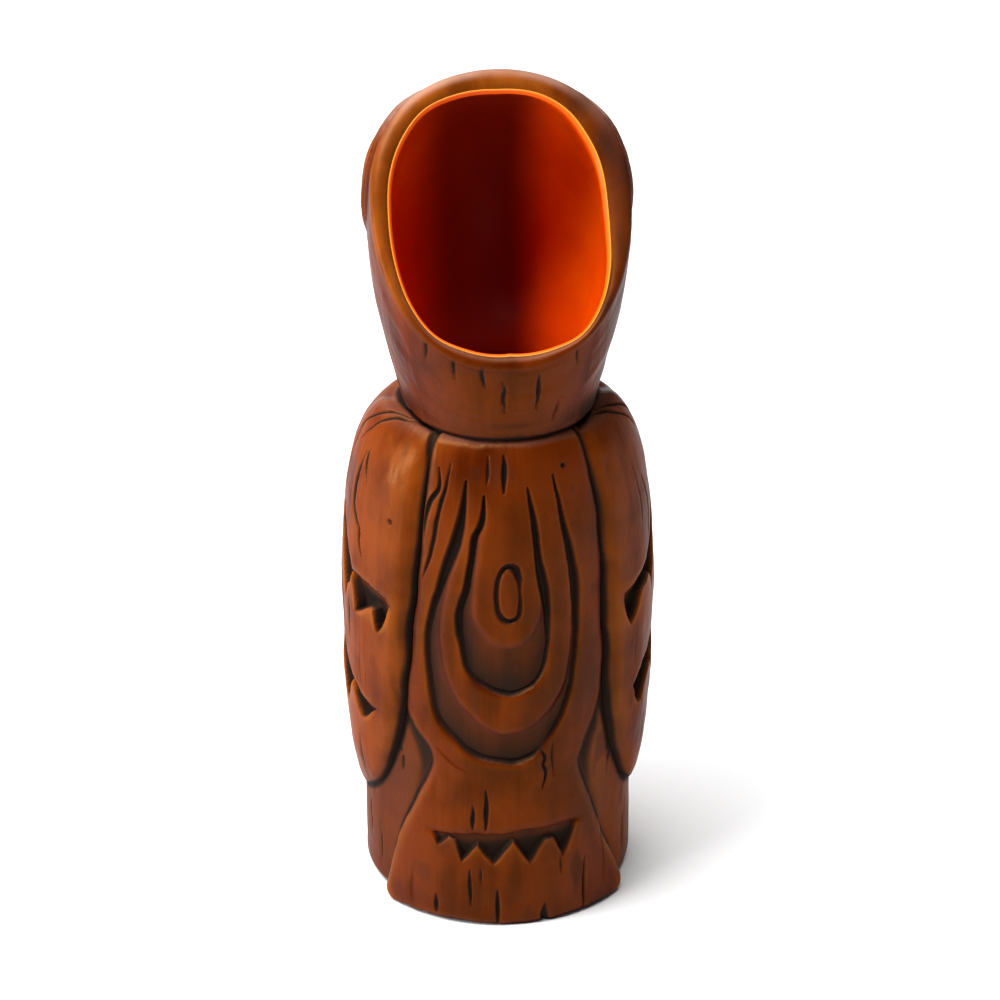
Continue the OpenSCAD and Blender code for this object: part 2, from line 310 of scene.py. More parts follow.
def segment_distance(x, y, p, q):
    dx, dy = q[0] - p[0], q[1] - p[1]
    t = np.clip(((x - p[0]) * dx + (y - p[1]) * dy) / max(dx * dx + dy * dy, TINY), 0, 1)
    return np.hypot(x - p[0] - t * dx, y - p[1] - t * dy)


def line_distance(skin, path):
    """Distance of each point from a line of (angle, up) points."""
    corners = flat_corners(path)
    x, y = flat_points(skin, 0.0)
    nearest = np.full(x.shape, FAR)
    for p, q in zip(corners[:-1], corners[1:]):
        nearest = np.minimum(nearest, segment_distance(x, y, p, q))
    return nearest


# ---------------------------------------------------------------- the body's skin

def body_profile():
    """The trunk's outline from the foot up, over the shoulders and in to the neck: the way along it, the
    radius and the height."""
    turn = np.radians(np.linspace(0, 90, 120))
    r = TRUNK_R - SHOULDER_IN * (1 - np.cos(turn))
    z = SHOULDER_Z + (TRUNK_H - SHOULDER_Z) * np.sin(turn)
    r = np.concatenate([[TRUNK_R], r, [r[-1] - NECK_RUN]])
    z = np.concatenate([[0], z, [TRUNK_H]])
    far = np.concatenate([[0], np.cumsum(np.hypot(np.diff(r), np.diff(z)))])
    return far, r, z


PROFILE_UP, PROFILE_R, PROFILE_Z = body_profile()


def body_place(angle, up):
    """Points of the trunk's surface. The shoulders' rim falls away a little towards the face."""
    r = np.interp(up, PROFILE_UP, PROFILE_R)
    z = np.interp(up, PROFILE_UP, PROFILE_Z)
    from_front = np.abs((angle + 180) % 360 - 180)
    fall = smooth(from_front, 80, 104) * (1 - smooth(from_front, 146, 166))
    z = z - 2.6 * fall * smooth(up, 116, 131.5) * (1 - smooth(up, 132.6, 135.4))
    return around(r, z, np.radians(angle))


def body_skin():
    """The columns stand closest on the drinking side, where the carving is finest."""
    columns = 660
    rows = 416
    crowding = 0.18
    t = np.arange(columns) / columns * 2 - 1
    angles = 180 * (t - crowding * np.sin(np.pi * t) / np.pi)
    height = PROFILE_UP[-1]
    return Skin(angles, np.linspace(0, height, rows), body_place, (0.55, 0.4), (height, 360 * ARC))


# The left and right edges of the back slab and tail, from the foot up.
SLAB_LEFT = [(-50, -6), (-55, 0), (-56.6, 3), (-54.6, 7.5), (-49.8, 19), (-44.5, 27), (-39, 35),
             (-34.5, 41), (-33.4, 45), (-36, 48.6), (-41.5, 52.4), (-45, 56), (-44.6, 61), (-42.6, 72),
             (-40, 86), (-37.8, 100), (-36.4, 115), (-35.4, 126), (-34.5, 140)]
SLAB_RIGHT = [(49, -6), (54, 0), (55.6, 3), (53, 7), (46.5, 15), (42, 21), (36.6, 30), (32.6, 37),
              (30.2, 43), (32.6, 47), (37.6, 53), (41.5, 58), (42.4, 66), (41.6, 80), (40.6, 95),
              (39.2, 110), (37, 122), (35, 132), (34, 140)]


def slab_outline():
    return np.concatenate([curve(SLAB_LEFT), curve(SLAB_RIGHT)[::-1]])


# Grain rings on the slab: (angle, up) along each side of the two troughs between them.
OUTER_TROUGH_RIM = [(-17.4, 121), (-19.4, 111), (-25, 102), (-29.6, 92.6), (-34, 80), (-33.4, 65),
                    (-29, 56.3), (-20.8, 50.6), (-10.9, 46.8), (-1, 45.6), (8, 46.8), (13.4, 49),
                    (19, 54.6), (24, 62), (27.2, 71), (28.2, 82.5), (27.8, 94.4), (24.5, 103.3),
                    (21.2, 111), (18.4, 121)]
OUTER_TROUGH_RING = [(-17.3, 120), (-17.4, 111), (-21.5, 101), (-25.6, 91), (-27.3, 80), (-25, 69),
                     (-18.8, 62), (-8.9, 56.3), (-0.8, 54.8), (9, 56.2), (18.3, 62.4), (23.4, 70), (25, 80),
                     (24.8, 93), (22.3, 103), (19.8, 111), (18.3, 120)]
INNER_TROUGH_RIM = [(-10.2, 117), (-10.8, 112), (-13.8, 108), (-15.6, 103), (-17.4, 95.3), (-20.8, 85.5),
                    (-19.6, 78.5), (-16.3, 71), (-12, 67.8), (-5, 65.4), (1.6, 64.6), (8.8, 66.2),
                    (14, 71.5), (16, 79.4), (15.2, 86), (13.8, 93.4), (11.2, 102.5), (9.6, 111.4),
                    (7.2, 119)]
INNER_TROUGH_RING = [(-10.1, 116), (-9.6, 112), (-11.4, 107), (-12.6, 102), (-13.6, 95), (-13.6, 87),
                     (-10, 81.6), (-4.6, 79), (1, 78.6), (6.6, 80.4), (10.8, 84.8), (12, 90.7), (11.6, 96),
                     (10, 103), (8.6, 111), (7.1, 118)]


def trough(skin, rim_points, ring_points, deep):
    """A hollow between two grain rings. It slopes down to its outer rim, where the wash is darkest."""
    rim = curve(rim_points)
    ring = curve(ring_points)
    within = inside(skin, np.concatenate([rim, ring[::-1]]))
    to_rim = line_distance(skin, rim)
    to_ring = line_distance(skin, ring)
    share = to_ring / (to_ring + to_rim + 1e-6)
    edge = smooth(within, -0.3, 0.9)
    hollow = deep * edge * (0.6 + 0.4 * share)
    skin.mark(skin.softened(hollow, 0.75), edge * (0.42 + 0.33 * share ** 2))


# Lines carved into the slab. A row here, and in the tables like it, is one line: its depth, how dark its wash
# and painted shade are, and its (angle, up, half width) points.
SLAB_LINES = (
    # the dark line along the foot of each rim, swelling where the rings close up
    (2.3, 0.95, (-17.4, 121.5, 0.3), (-19.2, 111, 1.25), (-23.6, 102, 1.5), (-28.4, 92.6, 1.1),
     (-33, 80, 0.9), (-32.6, 65, 0.9), (-28.4, 57, 0.9), (-20.4, 51.5, 0.9), (-10.9, 47.6, 0.95),
     (-1, 46.4, 1.0), (8, 47.5, 1.0), (13, 49.6, 0.5)),
    (2.2, 0.95, (13, 49.6, 0.5), (19, 55.2, 0.75), (23.6, 62.4, 0.75), (26.7, 71, 0.8), (27.4, 82.5, 1.0),
     (26.6, 93.5, 1.45), (24.2, 103, 1.15), (21.2, 111, 0.8), (18.4, 122, 0.3)),
    (2.1, 0.9, (-10.2, 118, 0.3), (-10.9, 112, 0.8), (-13.6, 108, 0.95), (-15.2, 103, 0.9),
     (-16.8, 95.3, 1.0), (-20, 85.5, 1.1), (-19, 78.5, 0.8), (-15.8, 71.6, 0.7), (-11.6, 68.6, 0.7),
     (-5, 66.2, 0.8), (1.6, 65.4, 0.85), (8.4, 67, 0.8), (13.2, 72, 0.7), (15.2, 79.4, 0.7)),
    (2.1, 0.95, (15.2, 79.4, 0.7), (14.6, 86, 1.0), (13.2, 93.4, 1.2), (10.9, 102.5, 0.95),
     (9.5, 111.4, 0.8), (7.2, 120, 0.25)),
    # the knot: a groove that hooks round, with a heavy upper end
    (1.2, 0.8, (3.6, 97.2, 0.95), (2.2, 99.6, 1.15), (-1.2, 100, 0.9), (-4.2, 98.2, 0.75), (-5.4, 94, 0.7),
     (-5.2, 89, 0.75), (-3.6, 86.2, 0.85), (-0.6, 85.4, 0.85), (2.6, 86.6, 0.8), (3.8, 90, 0.6),
     (3.8, 94, 0.45), (3.5, 97, 0.8)),
    # short cracks
    (1.2, 1.0, (-2.4, 127.5, 0.25), (-2.2, 123.5, 0.8), (-2.3, 118.5, 0.3)),
    (0.6, 0.7, (-9.4, 127.2, 0.25), (-9.0, 123.2, 0.5), (-9.2, 120.5, 0.2)),
    (1.0, 1.0, (-30, 123.5, 0.25), (-29.8, 118.5, 0.6), (-33.2, 114.4, 0.8), (-35, 109.5, 0.6),
     (-35.4, 106, 0.25)),
    (0.8, 0.75, (-24.7, 125, 0.2), (-26.8, 118, 0.55), (-29.4, 109.6, 0.6), (-32.4, 101.5, 0.55),
     (-35.6, 95, 0.2)),
    (0.8, 1.0, (12.8, 49, 0.35), (14.4, 46.6, 0.5), (13.4, 44.6, 0.42), (14.3, 42.4, 0.45),
     (12.6, 38.2, 0.2)),
    (0.6, 0.6, (17.6, 51.5, 0.2), (17.6, 46, 0.5), (17.6, 41, 0.2)),
    (0.35, 0.3, (-30.6, 49, 0.2), (-24, 45.8, 0.5), (-17, 43.6, 0.2)),
    # the corners at the waist, between the slab and the wing tips: a shallow cut painted dark as shade
    (0.3, 0.8, (-48, 64, 0.5), (-44, 54, 2.4), (-37.4, 47.6, 3.0), (-37, 41, 2.2), (-42, 31, 0.6)),
    (0.3, 0.8, (43, 66, 0.5), (40, 55, 2.4), (34.6, 46.6, 3.0), (35, 38, 2.0), (39.6, 29, 0.6)),
)


# The splintered notch in the tail.
TAIL_BROW = 6            # how many of its points are its brow
TAIL_NOTCH = [(-32, 25.4), (-24.4, 25.7), (-9, 26.3), (7, 27.3), (18, 27.6), (28, 27.2), (25.4, 24),
              (21.4, 18), (18.6, 21.2), (16.8, 23.3), (14, 23.4), (11, 21), (8.2, 17.6), (5, 20.4),
              (1.5, 24), (-2.2, 20.6), (-6.2, 17.4), (-9.8, 20.2), (-13.1, 23), (-16, 20.4), (-18.8, 17.8),
              (-21.9, 23.1), (-24.6, 23.8), (-28.8, 21.5)]


def notch(skin, outline, brow, deep):
    """A splintered hollow. It starts shallow under its brow line and is deepest between its teeth."""
    within = inside(skin, outline)
    below = line_distance(skin, brow)
    edge = smooth(within, -0.15, 0.65)
    # the hollow is darkened with wash and painted shade, most of all away from its brow
    skin.mark(edge * deep * (0.45 + 0.55 * smooth(below, 0.0, 7.5)),
              edge * (0.46 + 0.54 * smooth(below, 1.5, 6.0)))
    # the brow is worn round, and wash with painted shade gathers along the foot of the teeth
    roll = near(below, 2.2) ** 2 * (within < 0.3)
    skin.mark(0.5 * roll * (within > -4), 0.85 * near(within - 0.35, 0.7) * smooth(below, 1.0, 3.0))


# Cracks in the tail.
TAIL_LINES = (
    (0.9, 1.0, (-9.9, 38.5, 0.2), (-9.6, 33, 0.65), (-9.7, 27.5, 0.35)),
    (0.8, 1.0, (-14.9, 34, 0.2), (-14.9, 30, 0.6), (-15, 27, 0.3)),
    (0.8, 1.0, (-15.6, 16, 0.2), (-15.7, 11, 0.5), (-15.5, 5.5, 0.2)),
    (0.5, 0.7, (-11.2, 17, 0.15), (-11.2, 14.5, 0.4), (-11.2, 12, 0.15)),
    (0.9, 1.0, (-5, 10.4, 0.2), (-5, 5.5, 0.6), (-5, 1.0, 0.3)),
    (0.8, 1.0, (-29.3, 7, 0.2), (-29.4, 4, 0.6), (-29.4, 1.8, 0.3)),
    (0.9, 1.0, (13.5, 5.6, 0.2), (13.4, 3.0, 0.9), (13.5, 0.8, 1.2)),
    (0.6, 0.9, (30.5, 16, 0.15), (30.7, 8, 0.35), (30.8, 0.5, 0.25)),
    (0.5, 0.6, (20.5, 18.6, 0.15), (20.5, 15.5, 0.35), (20.5, 13, 0.15)),
    (0.4, 0.4, (-40, 12, 0.2), (-41, 7, 0.5), (-40.5, 3, 0.2)),
    (0.4, 0.4, (40, 20, 0.2), (41.5, 13, 0.45), (41, 6, 0.2)),
)


# A wing's outline on the left, from the neck down its inner edge and round its tip to the front.
WING_LEFT = [(-34.6, 142), (-35.2, 130), (-36.4, 120), (-37.6, 108), (-40.4, 88), (-43, 73), (-45, 60),
             (-48.6, 49), (-54.4, 40.4), (-60.5, 33), (-67, 28.8), (-76, 25.4), (-86, 23.6), (-96, 25.4),
             (-105, 31), (-112, 41), (-118, 56), (-122.5, 74), (-126, 95), (-128, 115), (-129, 130),
             (-129, 142)]
WING_RIGHT = [(34.2, 142), (35, 131), (37.6, 120), (39.6, 108), (41.2, 92), (42.8, 76), (44, 62),
              (45.4, 53.6), (49, 44), (55, 36.6), (60.5, 31), (67, 27.6), (76, 24.6), (86, 23.2),
              (96, 25.2), (105, 31), (112, 41), (118, 56), (122.5, 74), (126, 95), (128, 115), (129, 130),
              (129, 142)]
# How far the wing stands out of the trunk at each height.
WING_FULL = [(18, 0.6), (24, 1.6), (32, 2.9), (44, 4.2), (56, 5.0), (66, 4.9), (80, 5.2), (92, 4.6),
             (104, 3.9), (114, 3.2), (122, 2.1), (128, 1.1), (131.6, 0.6), (134, 0.5), (136.5, 0.5)]

UPPER_BROW_LEFT = [(-49.2, 85.2), (-51.2, 87.2), (-54.7, 88.2), (-60.3, 88.7), (-67, 88.9), (-74, 89.2),
                   (-78.6, 93.4), (-83, 98), (-88, 102)]
UPPER_TEETH_LEFT = [(-89, 97), (-85.5, 94), (-82.5, 88), (-79, 80.5), (-76.6, 84.5), (-74.6, 85),
                    (-72.8, 88.4), (-71, 85.4), (-69.6, 81.6), (-69.4, 78.8), (-66.6, 79.6), (-62, 81.6),
                    (-58.8, 82.8), (-56.9, 82.4), (-56.4, 79), (-55, 76.6), (-52.4, 79), (-50.4, 82.2)]
UPPER_BROW_RIGHT = [(49.0, 84.4), (49.8, 86.4), (54, 87.2), (59.8, 88.4), (66.2, 89.9), (72, 93), (78, 98),
                    (83, 102)]
UPPER_TEETH_RIGHT = [(84, 96), (79, 92), (76, 86), (73, 81), (70.6, 84.6), (68, 86.4), (65, 84.6),
                     (62, 84.4), (60, 83.4), (57.6, 80.2), (55.4, 78), (53, 76.6), (50.6, 79.6),
                     (49.2, 82.6)]
LOWER_BROW_LEFT = [(-56, 54.4), (-61, 55.3), (-67.3, 56.4), (-74, 58.2), (-80, 61), (-85, 64.4), (-89, 67.5)]
LOWER_TEETH_LEFT = [(-90, 61), (-86.5, 56.5), (-83.5, 50.4), (-80.5, 50), (-77.4, 54), (-74.4, 57.2),
                    (-72, 54.4), (-69.6, 51.4), (-67, 49.6), (-63.6, 50.8), (-60, 52.8)]
LOWER_BROW_RIGHT = [(57.4, 57.6), (60.4, 60.4), (65, 62.6), (70, 63.6), (76, 66), (82, 69), (86, 71.5)]
LOWER_TEETH_RIGHT = [(87, 65), (83, 61), (79.6, 54), (76.4, 57), (73.6, 60), (70, 58), (66, 55.4),
                     (62.4, 52.4), (59.6, 52.6), (58, 55)]
FRONT_BROW = [(96, 92), (101, 94), (107, 92.4), (113, 90), (119, 88.6)]
FRONT_TEETH = [(118, 84), (114.4, 80), (112, 85), (108.4, 86), (105.4, 79), (102.6, 84.6), (99.4, 87),
               (97, 84)]
FRONT_LOW_BROW = [(95, 62), (100, 63), (106, 60.6), (112, 57.6)]
FRONT_LOW_TEETH = [(110, 53.6), (107.4, 50), (105, 54.6), (101.6, 55.4), (99, 50), (96.4, 54)]


# Lines over the right shoulder, mirrored on the left one.
WING_LINES = (
    # the two creases over the shoulder
    (0.6, 0.8, (83, 121, 0.15), (76, 126, 0.35), (66, 129.8, 0.42), (56, 131.8, 0.4), (49, 133, 0.25)),
    (0.6, 0.8, (95, 117, 0.15), (89, 123, 0.35), (80, 128, 0.4), (68, 131.4, 0.42), (54, 133.6, 0.25)),
    # the pit where the wing's end meets the head, painted dark as shade
    (0.5, 0.85, (36, 130, 0.4), (43, 132.4, 1.6), (56, 134.6, 1.5), (72, 135.4, 0.6)),
)


# The splintered hollows (brow, teeth) on the seen half of each wing, and on both front halves.
BACK_NOTCHES = {-1: ((UPPER_BROW_LEFT, UPPER_TEETH_LEFT), (LOWER_BROW_LEFT, LOWER_TEETH_LEFT)),
                1: ((UPPER_BROW_RIGHT, UPPER_TEETH_RIGHT), (LOWER_BROW_RIGHT, LOWER_TEETH_RIGHT))}
FRONT_NOTCHES = ((FRONT_BROW, FRONT_TEETH), (FRONT_LOW_BROW, FRONT_LOW_TEETH))
BACK_DEEP = 3.2          # depths of the hollows
FRONT_DEEP = 2.6
TAIL_DEEP = 2.2
# Long grooves down the flanks: the angles of the start, bend and end, and the heights of the top and foot.
FEATHER_GROOVES = ((88, 92, 90, 122, 104), (99, 104, 101, 120, 98), (111, 116, 114, 119, 95),
                   (87, 84, 82, 84, 70), (99, 101, 97, 78, 66), (110, 112, 107, 76, 62),
                   (88, 86, 84, 48, 34), (98, 99, 95, 50, 36))


def carve_wing(skin, side):
    """side is -1 for the left wing and 1 for the right one."""
    for brow, teeth in BACK_NOTCHES[side]:
        notch(skin, brow + teeth, brow, BACK_DEEP)
    for brow, teeth in FRONT_NOTCHES:
        notch(skin, mirrored(brow + teeth, side), mirrored(brow, side), FRONT_DEEP)
    for start, bend, end, top, foot in FEATHER_GROOVES:
        path = [(start, top, 0.2), (bend, (top + foot) / 2, 0.65), (end, foot, 0.2)]
        carve(skin, mirrored(path, side), 0.8, 0.8)
    carve_lines(skin, WING_LINES, side)


# Cracks in the left wing.
LEFT_CRACKS = (
    (0.6, 0.95, (-33, 133.4, 0.6), (-36.5, 130, 1.7), (-36.6, 123, 0.5)),
    (0.7, 0.9, (-70.5, 122, 0.2), (-69.6, 118, 0.65), (-66.4, 113, 0.2)),
    (1.0, 1.0, (-72.4, 120.5, 0.2), (-75, 112.5, 0.8), (-75.6, 106, 0.85), (-71.6, 102.6, 0.75),
     (-68.6, 101, 0.7), (-67, 97, 0.6), (-64, 92.6, 0.2)),
    (0.5, 0.8, (-75.4, 80.4, 0.2), (-74.8, 76, 0.45), (-75.2, 70, 0.15)),
    (0.3, 0.4, (-66, 68, 0.15), (-67, 63, 0.35), (-65.6, 59, 0.15)),
    (0.4, 0.6, (-70, 44, 0.15), (-71, 38, 0.4), (-70, 33, 0.15)),
)


# Cracks in the right wing.
RIGHT_CRACKS = (
    (0.5, 0.5, (62, 116, 0.2), (65, 109, 0.4), (64, 102, 0.2)),
    (0.6, 0.7, (70, 112, 0.2), (73, 104, 0.5), (71, 97, 0.2)),
    (0.3, 0.4, (57, 74, 0.15), (56, 68, 0.35), (57.6, 62, 0.15)),
    (0.4, 0.6, (68, 47, 0.15), (69.6, 41, 0.4), (68, 35, 0.15)),
)


# A small round pit in the slab, and one in the left wing.
PITS = (
    (0.7, 1.0, (23.4, 123.8, 0.65), (23.6, 123.5, 0.65)),
    (0.4, 0.6, (-50.1, 107.4, 0.7), (-49.6, 107, 0.7)),
)


BREAST_SIDE = [(-46, 118), (-48.5, 100), (-47, 78), (-42, 56), (-34, 40), (-22, 31), (0, 27.6)]
BREAST_TOP = [(-46, 118), (-40, 124.4), (-28, 127.6), (0, 128.6)]


def breast_outline():
    half = np.concatenate([curve(BREAST_TOP)[::-1], curve(BREAST_SIDE)[1:]])
    return np.concatenate([half, (half * [-1, 1])[::-1][1:-1]])


def carve_breast(skin):
    """Rows of scalloped feathers, each with a quill, between the wings."""
    row_step = 12.5
    feather = 19.0
    w = feather / 2
    side = [(w, 9.5, 0.45), (w * 0.82, 3.4, 0.7), (w * 0.36, -0.4, 0.85)]
    scallop = mirrored(side, -1) + [(0, -1.6, 0.95)] + side[::-1]
    quill = [(0, 7.5, 0.15), (0.4, 4, 0.4), (0, 0.8, 0.15)]
    for row in range(7):
        foot = 112.0 - row * row_step
        reach = 40 - 3.0 * max(0, row - 3)
        count = int(reach // feather)
        for k in range(-count - 1, count + 2):
            middle = k * feather + (row % 2) * feather / 2
            if abs(middle) > reach:
                continue
            for line, deep, ink_and_shade in ((scallop, 1.1, 0.9), (quill, 0.5, 0.7)):
                carve(skin, [(180 + middle + x, foot + y, half) for x, y, half in line], deep, ink_and_shade)


# Cracks where the trunk shows between the carvings: (angle, low end, high end, half width).
TRUNK_CRACKS = ((-66, 4, 17, 0.5), (-77, 8, 21, 0.45), (-88, 3, 14, 0.5), (-99, 6, 20, 0.45),
                (64, 5, 20, 0.5), (76, 3, 15, 0.45), (90, 7, 19, 0.5), (101, 4, 22, 0.4),
                (-124, 6, 30, 0.5), (124, 4, 27, 0.5), (-136, 20, 38, 0.4), (137, 16, 34, 0.4),
                (180, 9, 22, 0.5), (-50, 36, 44, 0.4), (49, 34, 43, 0.4))


def carve_trunk(skin):
    for angle, low, high, half in TRUNK_CRACKS:
        middle = (low + high) / 2
        carve(skin, [(angle, low, 0.15), (angle + 0.8, middle, half), (angle - 0.4, high, 0.15)], 0.6, 0.7)


def body_heights(skin):
    """The height of each relief above the trunk, and how far inside its outline each point is."""
    up = skin.drawn_up
    slab_in = inside(skin, slab_outline())
    foot = 1.4 * np.clip(1 - up / 1.8, 0, 1) ** 2
    neck = 1 - smooth(up, 128.6, 133.5)
    thick = SLAB_T + (TAIL_T - SLAB_T) * (1 - smooth(up, 8, 46))
    slab = thick * rounded(slab_in, 2.6) * neck - foot
    wing_in = np.maximum(inside(skin, curve(WING_LEFT)), inside(skin, curve(WING_RIGHT)))
    wings = along(up, WING_FULL) * (0.82 * rounded(wing_in, 5.0) + 0.18 * smooth(wing_in, 0, 12))
    breast_in = inside(skin, breast_outline(), 180.0)
    breast = BREAST_T * rounded(breast_in, 3.4)
    return {"slab": (slab, slab_in), "wing": (wings, wing_in), "breast": (breast, breast_in)}


# ---------------------------------------------------------------- the head's skin

def signed_pow(v, p):
    return np.sign(v) * np.abs(v) ** p


def head_place(angle, share, inset=0.0, lift=0.0):
    """Points of the head: share is 0 at the neck seam and 1 at the drinking opening."""
    b = np.asarray(share, float) * MOUTH_SLOPE
    a = np.radians(angle)
    share = np.clip(share, 0, 1)
    close = NECK_GAP / (np.cos(b) + BACK_LEAN * np.sin(b)) + inset
    far = NECK_GAP + NECK_LEN + HEAD_FAR * np.sin(FAR_ANGLE * share) ** FAR_POWER - inset
    half_w = NECK_HALF_W + HEAD_SWELL * np.sin(SWELL_ANGLE * share) ** SWELL_POWER - inset
    upper = (1 - share) * (far - close) / 2 + share * half_w
    middle = far - upper
    c = signed_pow(np.cos(a), RING_POWER)
    rho = middle - c * np.where(c > 0, middle - close, upper)
    return np.stack([half_w * signed_pow(np.sin(a), RING_POWER),
                     HINGE_Y + rho * np.cos(b) - lift * np.sin(b),
                     TRUNK_H + rho * np.sin(b) + lift * np.cos(b)], axis=-1)


def head_skin():
    columns = 440
    rows = 160
    angles = np.arange(columns) / columns * 360 - 180
    return Skin(angles, np.linspace(0, 1, rows), head_place, (0.5, 0.006), HEAD_SIZE)


# Cracks in the back of the head.
HEAD_LINES = (
    # cracks below the opening
    (0.7, 1.0, (-37, 1.0, 0.4), (-36.5, 0.94, 0.5), (-36, 0.8, 0.15)),
    (0.6, 1.0, (-23, 1.0, 0.4), (-22.6, 0.95, 0.45), (-22.2, 0.85, 0.15)),
    (0.7, 1.0, (-10.6, 1.0, 0.45), (-10.2, 0.95, 0.5), (-9.6, 0.82, 0.15)),
    (0.8, 1.0, (-2.4, 0.93, 0.2), (-2, 0.78, 0.6), (-1.4, 0.56, 0.15)),
    (0.9, 1.0, (11.4, 0.97, 0.25), (11, 0.8, 0.6), (10.6, 0.56, 0.2)),
    (0.5, 0.7, (30, 1.0, 0.3), (29.6, 0.95, 0.4), (29, 0.85, 0.15)),
    (0.5, 0.5, (22, 0.62, 0.15), (21.6, 0.45, 0.45), (21, 0.26, 0.15)),
    (0.9, 0.95, (-82, 0.5, 0.2), (-79, 0.34, 0.5), (-75, 0.22, 0.8), (-70, 0.11, 1.0), (-63, 0.01, 1.0)),
    (0.6, 0.7, (78, 0.5, 0.2), (75, 0.3, 0.5), (71, 0.14, 0.6), (66, 0.01, 0.6)),
)


# Long cracks on both sides of the head, and over its crown: (angle, low end, high end), and a half width.
SIDE_CRACKS = ((74, 0.2, 0.62, 0.5), (90, 0.08, 0.42, 0.5), (106, 0.16, 0.5, 0.45), (124, 0.05, 0.3, 0.5),
               (142, 0.08, 0.34, 0.45), (160, 0.04, 0.2, 0.5), (98, 0.56, 0.74, 0.35))
CROWN_CRACKS = ((180, 0.8, 0.97), (171, 0.78, 0.93), (-170, 0.84, 0.96), (160, 0.86, 0.98),
                (-158, 0.85, 0.97))


def carve_head(skin):
    carve_lines(skin, HEAD_LINES)
    for angle, low, high, half in SIDE_CRACKS:
        middle = (low + high) / 2
        for side in (-1, 1):
            bend = angle + 2.5 * math.sin(angle + side)
            path = [(angle, low, 0.15), (bend, middle, half), (angle + 1.5, high, 0.15)]
            carve(skin, mirrored(path, side), 0.8, 0.85)
    for angle, low, high in CROWN_CRACKS:
        carve(skin, [(angle, low, 0.15), (angle + 0.6, (low + high) / 2, 0.5), (angle, high, 0.2)], 0.7, 0.8)


EYE_ANGLE = 128.0
EYE_Z = 184.0
EYE_R = 13.0


def eye_frame(skin, side):
    """The middle of an eye on the head's surface, and the ways out, forward and up from it."""
    a = math.radians(EYE_ANGLE)
    target = np.array([side * 33 * math.sin(a), -33 * math.cos(a), EYE_Z])
    flat = skin.base.reshape(-1, 3)
    index = np.argmin(np.linalg.norm(flat - target, axis=1))
    out = skin.out.reshape(-1, 3)[index]
    up = np.array([0, 0, 1.0])
    up = up - out * (up @ out)
    up = up / np.linalg.norm(up)
    forward = np.cross(up, out)
    if forward[1] < 0:
        forward = -forward
    return flat[index], out, forward, up


def face_heights(skin, side):
    """The heights of an eye and its brow over the head, the distance from the eye, and the brow's cuts."""
    middle, out, forward, up = eye_frame(skin, side)
    away = skin.spots.reshape(*skin.shape, 3) - middle
    ahead, above, off = away @ forward, away @ up, away @ out
    there = np.abs(off) < 14
    r = np.where(there, np.hypot(ahead, above), FAR)
    ring = dome(r - 9.6, 2.9, 0.6) * 2.1
    ball = np.sqrt(dome(r, 6.4)) * 3.1
    eye = np.maximum(ring, ball) - dome(r, 2.4) * 1.3
    eye = np.where(r < EYE_R - 0.4, np.maximum(eye, 0.35), -0.5)
    # the brow runs from beside the beak, over the eye and down behind it
    turn = (np.degrees(np.arctan2(above, ahead)) + 100) % 360 - 100
    middle_r = 17.2 + 1.8 * smooth(turn, 40, 150)
    reach = smooth(turn, -46, -12) * (1 - smooth(turn, 185, 216))
    width = 4.3 * (0.35 + 0.65 * reach)
    back = smooth(turn, 30, 90)
    brow = np.sqrt(dome(r - middle_r, width)) * (3.6 - 2.5 * back) * reach ** 0.5
    first = dome(r - middle_r - 0.4, 0.75, 1.5) * (1.1 - 0.3 * back)
    second = dome(r - middle_r - 2.7, 0.65, 1.5) * back
    brow_line = np.maximum(first, 0.7 * second) * smooth(reach, 0.25, 0.9)
    brow = np.where(there & (reach > 0.02), brow - brow_line, -0.5)
    return eye, brow, r, brow_line


# ---------------------------------------------------------------- meshes

def cells(skin, wanted):
    """Triangles of the grid cells that have a wanted corner."""
    rows, columns = skin.shape
    index = np.arange(rows * columns).reshape(rows, columns)
    a, d = index[:-1], index[1:]
    b, c = np.roll(a, -1, axis=1), np.roll(d, -1, axis=1)
    keep = wanted.reshape(-1)
    used = keep[a] | keep[b] | keep[c] | keep[d]
    a, b, c, d = a[used], b[used], c[used], d[used]
    return np.concatenate([np.stack([a, b, c], 1), np.stack([a, c, d], 1)])


def clip(data, triangles, level):
    """The part of a mesh where level is above 0. The new edge's points are mixed from their neighbours."""
    kept = level > 0
    count = kept[triangles].sum(axis=1)
    whole = triangles[count == 3]
    mixed = triangles[(count == 1) | (count == 2)]
    if not len(mixed):
        return data, whole
    lone_kept = kept[mixed].sum(axis=1) == 1
    first = (kept[mixed] == lone_kept[:, None]).argmax(axis=1)
    turned = np.take_along_axis(mixed, (first[:, None] + np.arange(3)) % 3, axis=1)
    a, b, c = turned.T
    edges = np.sort(np.concatenate([np.stack([a, b], 1), np.stack([a, c], 1)]), axis=1)
    unique, which = np.unique(edges, axis=0, return_inverse=True)
    u, v = unique.T
    t = (level[u] / (level[u] - level[v]))[:, None]
    new = len(data) + which.reshape(-1)
    data = np.concatenate([data, data[u] * (1 - t) + data[v] * t])
    p, q = new[:len(a)], new[len(a):]
    lone = np.stack([a, p, q], 1)[lone_kept]
    other = ~lone_kept
    pair_1 = np.stack([p, b, c], 1)[other]
    pair_2 = np.stack([p, c, q], 1)[other]
    return data, np.concatenate([whole, lone, pair_1, pair_2])


def write_marks(mesh, wash_and_shade, wear_and_sheen):
    """Stores the wash with painted shade, and the wear with painted sheen, as vertex attributes for the
    materials.
    """
    for label, values in (("wash_and_shade", wash_and_shade), ("wear_and_sheen", wear_and_sheen)):
        attribute = mesh.attributes.get(label) or mesh.attributes.new(label, "FLOAT", "POINT")
        attribute.data.foreach_set("value", np.asarray(values, np.float32))


def into_scene(name, data):
    obj = bpy.data.objects.new(name, data)
    bpy.context.scene.collection.objects.link(obj)
    return obj


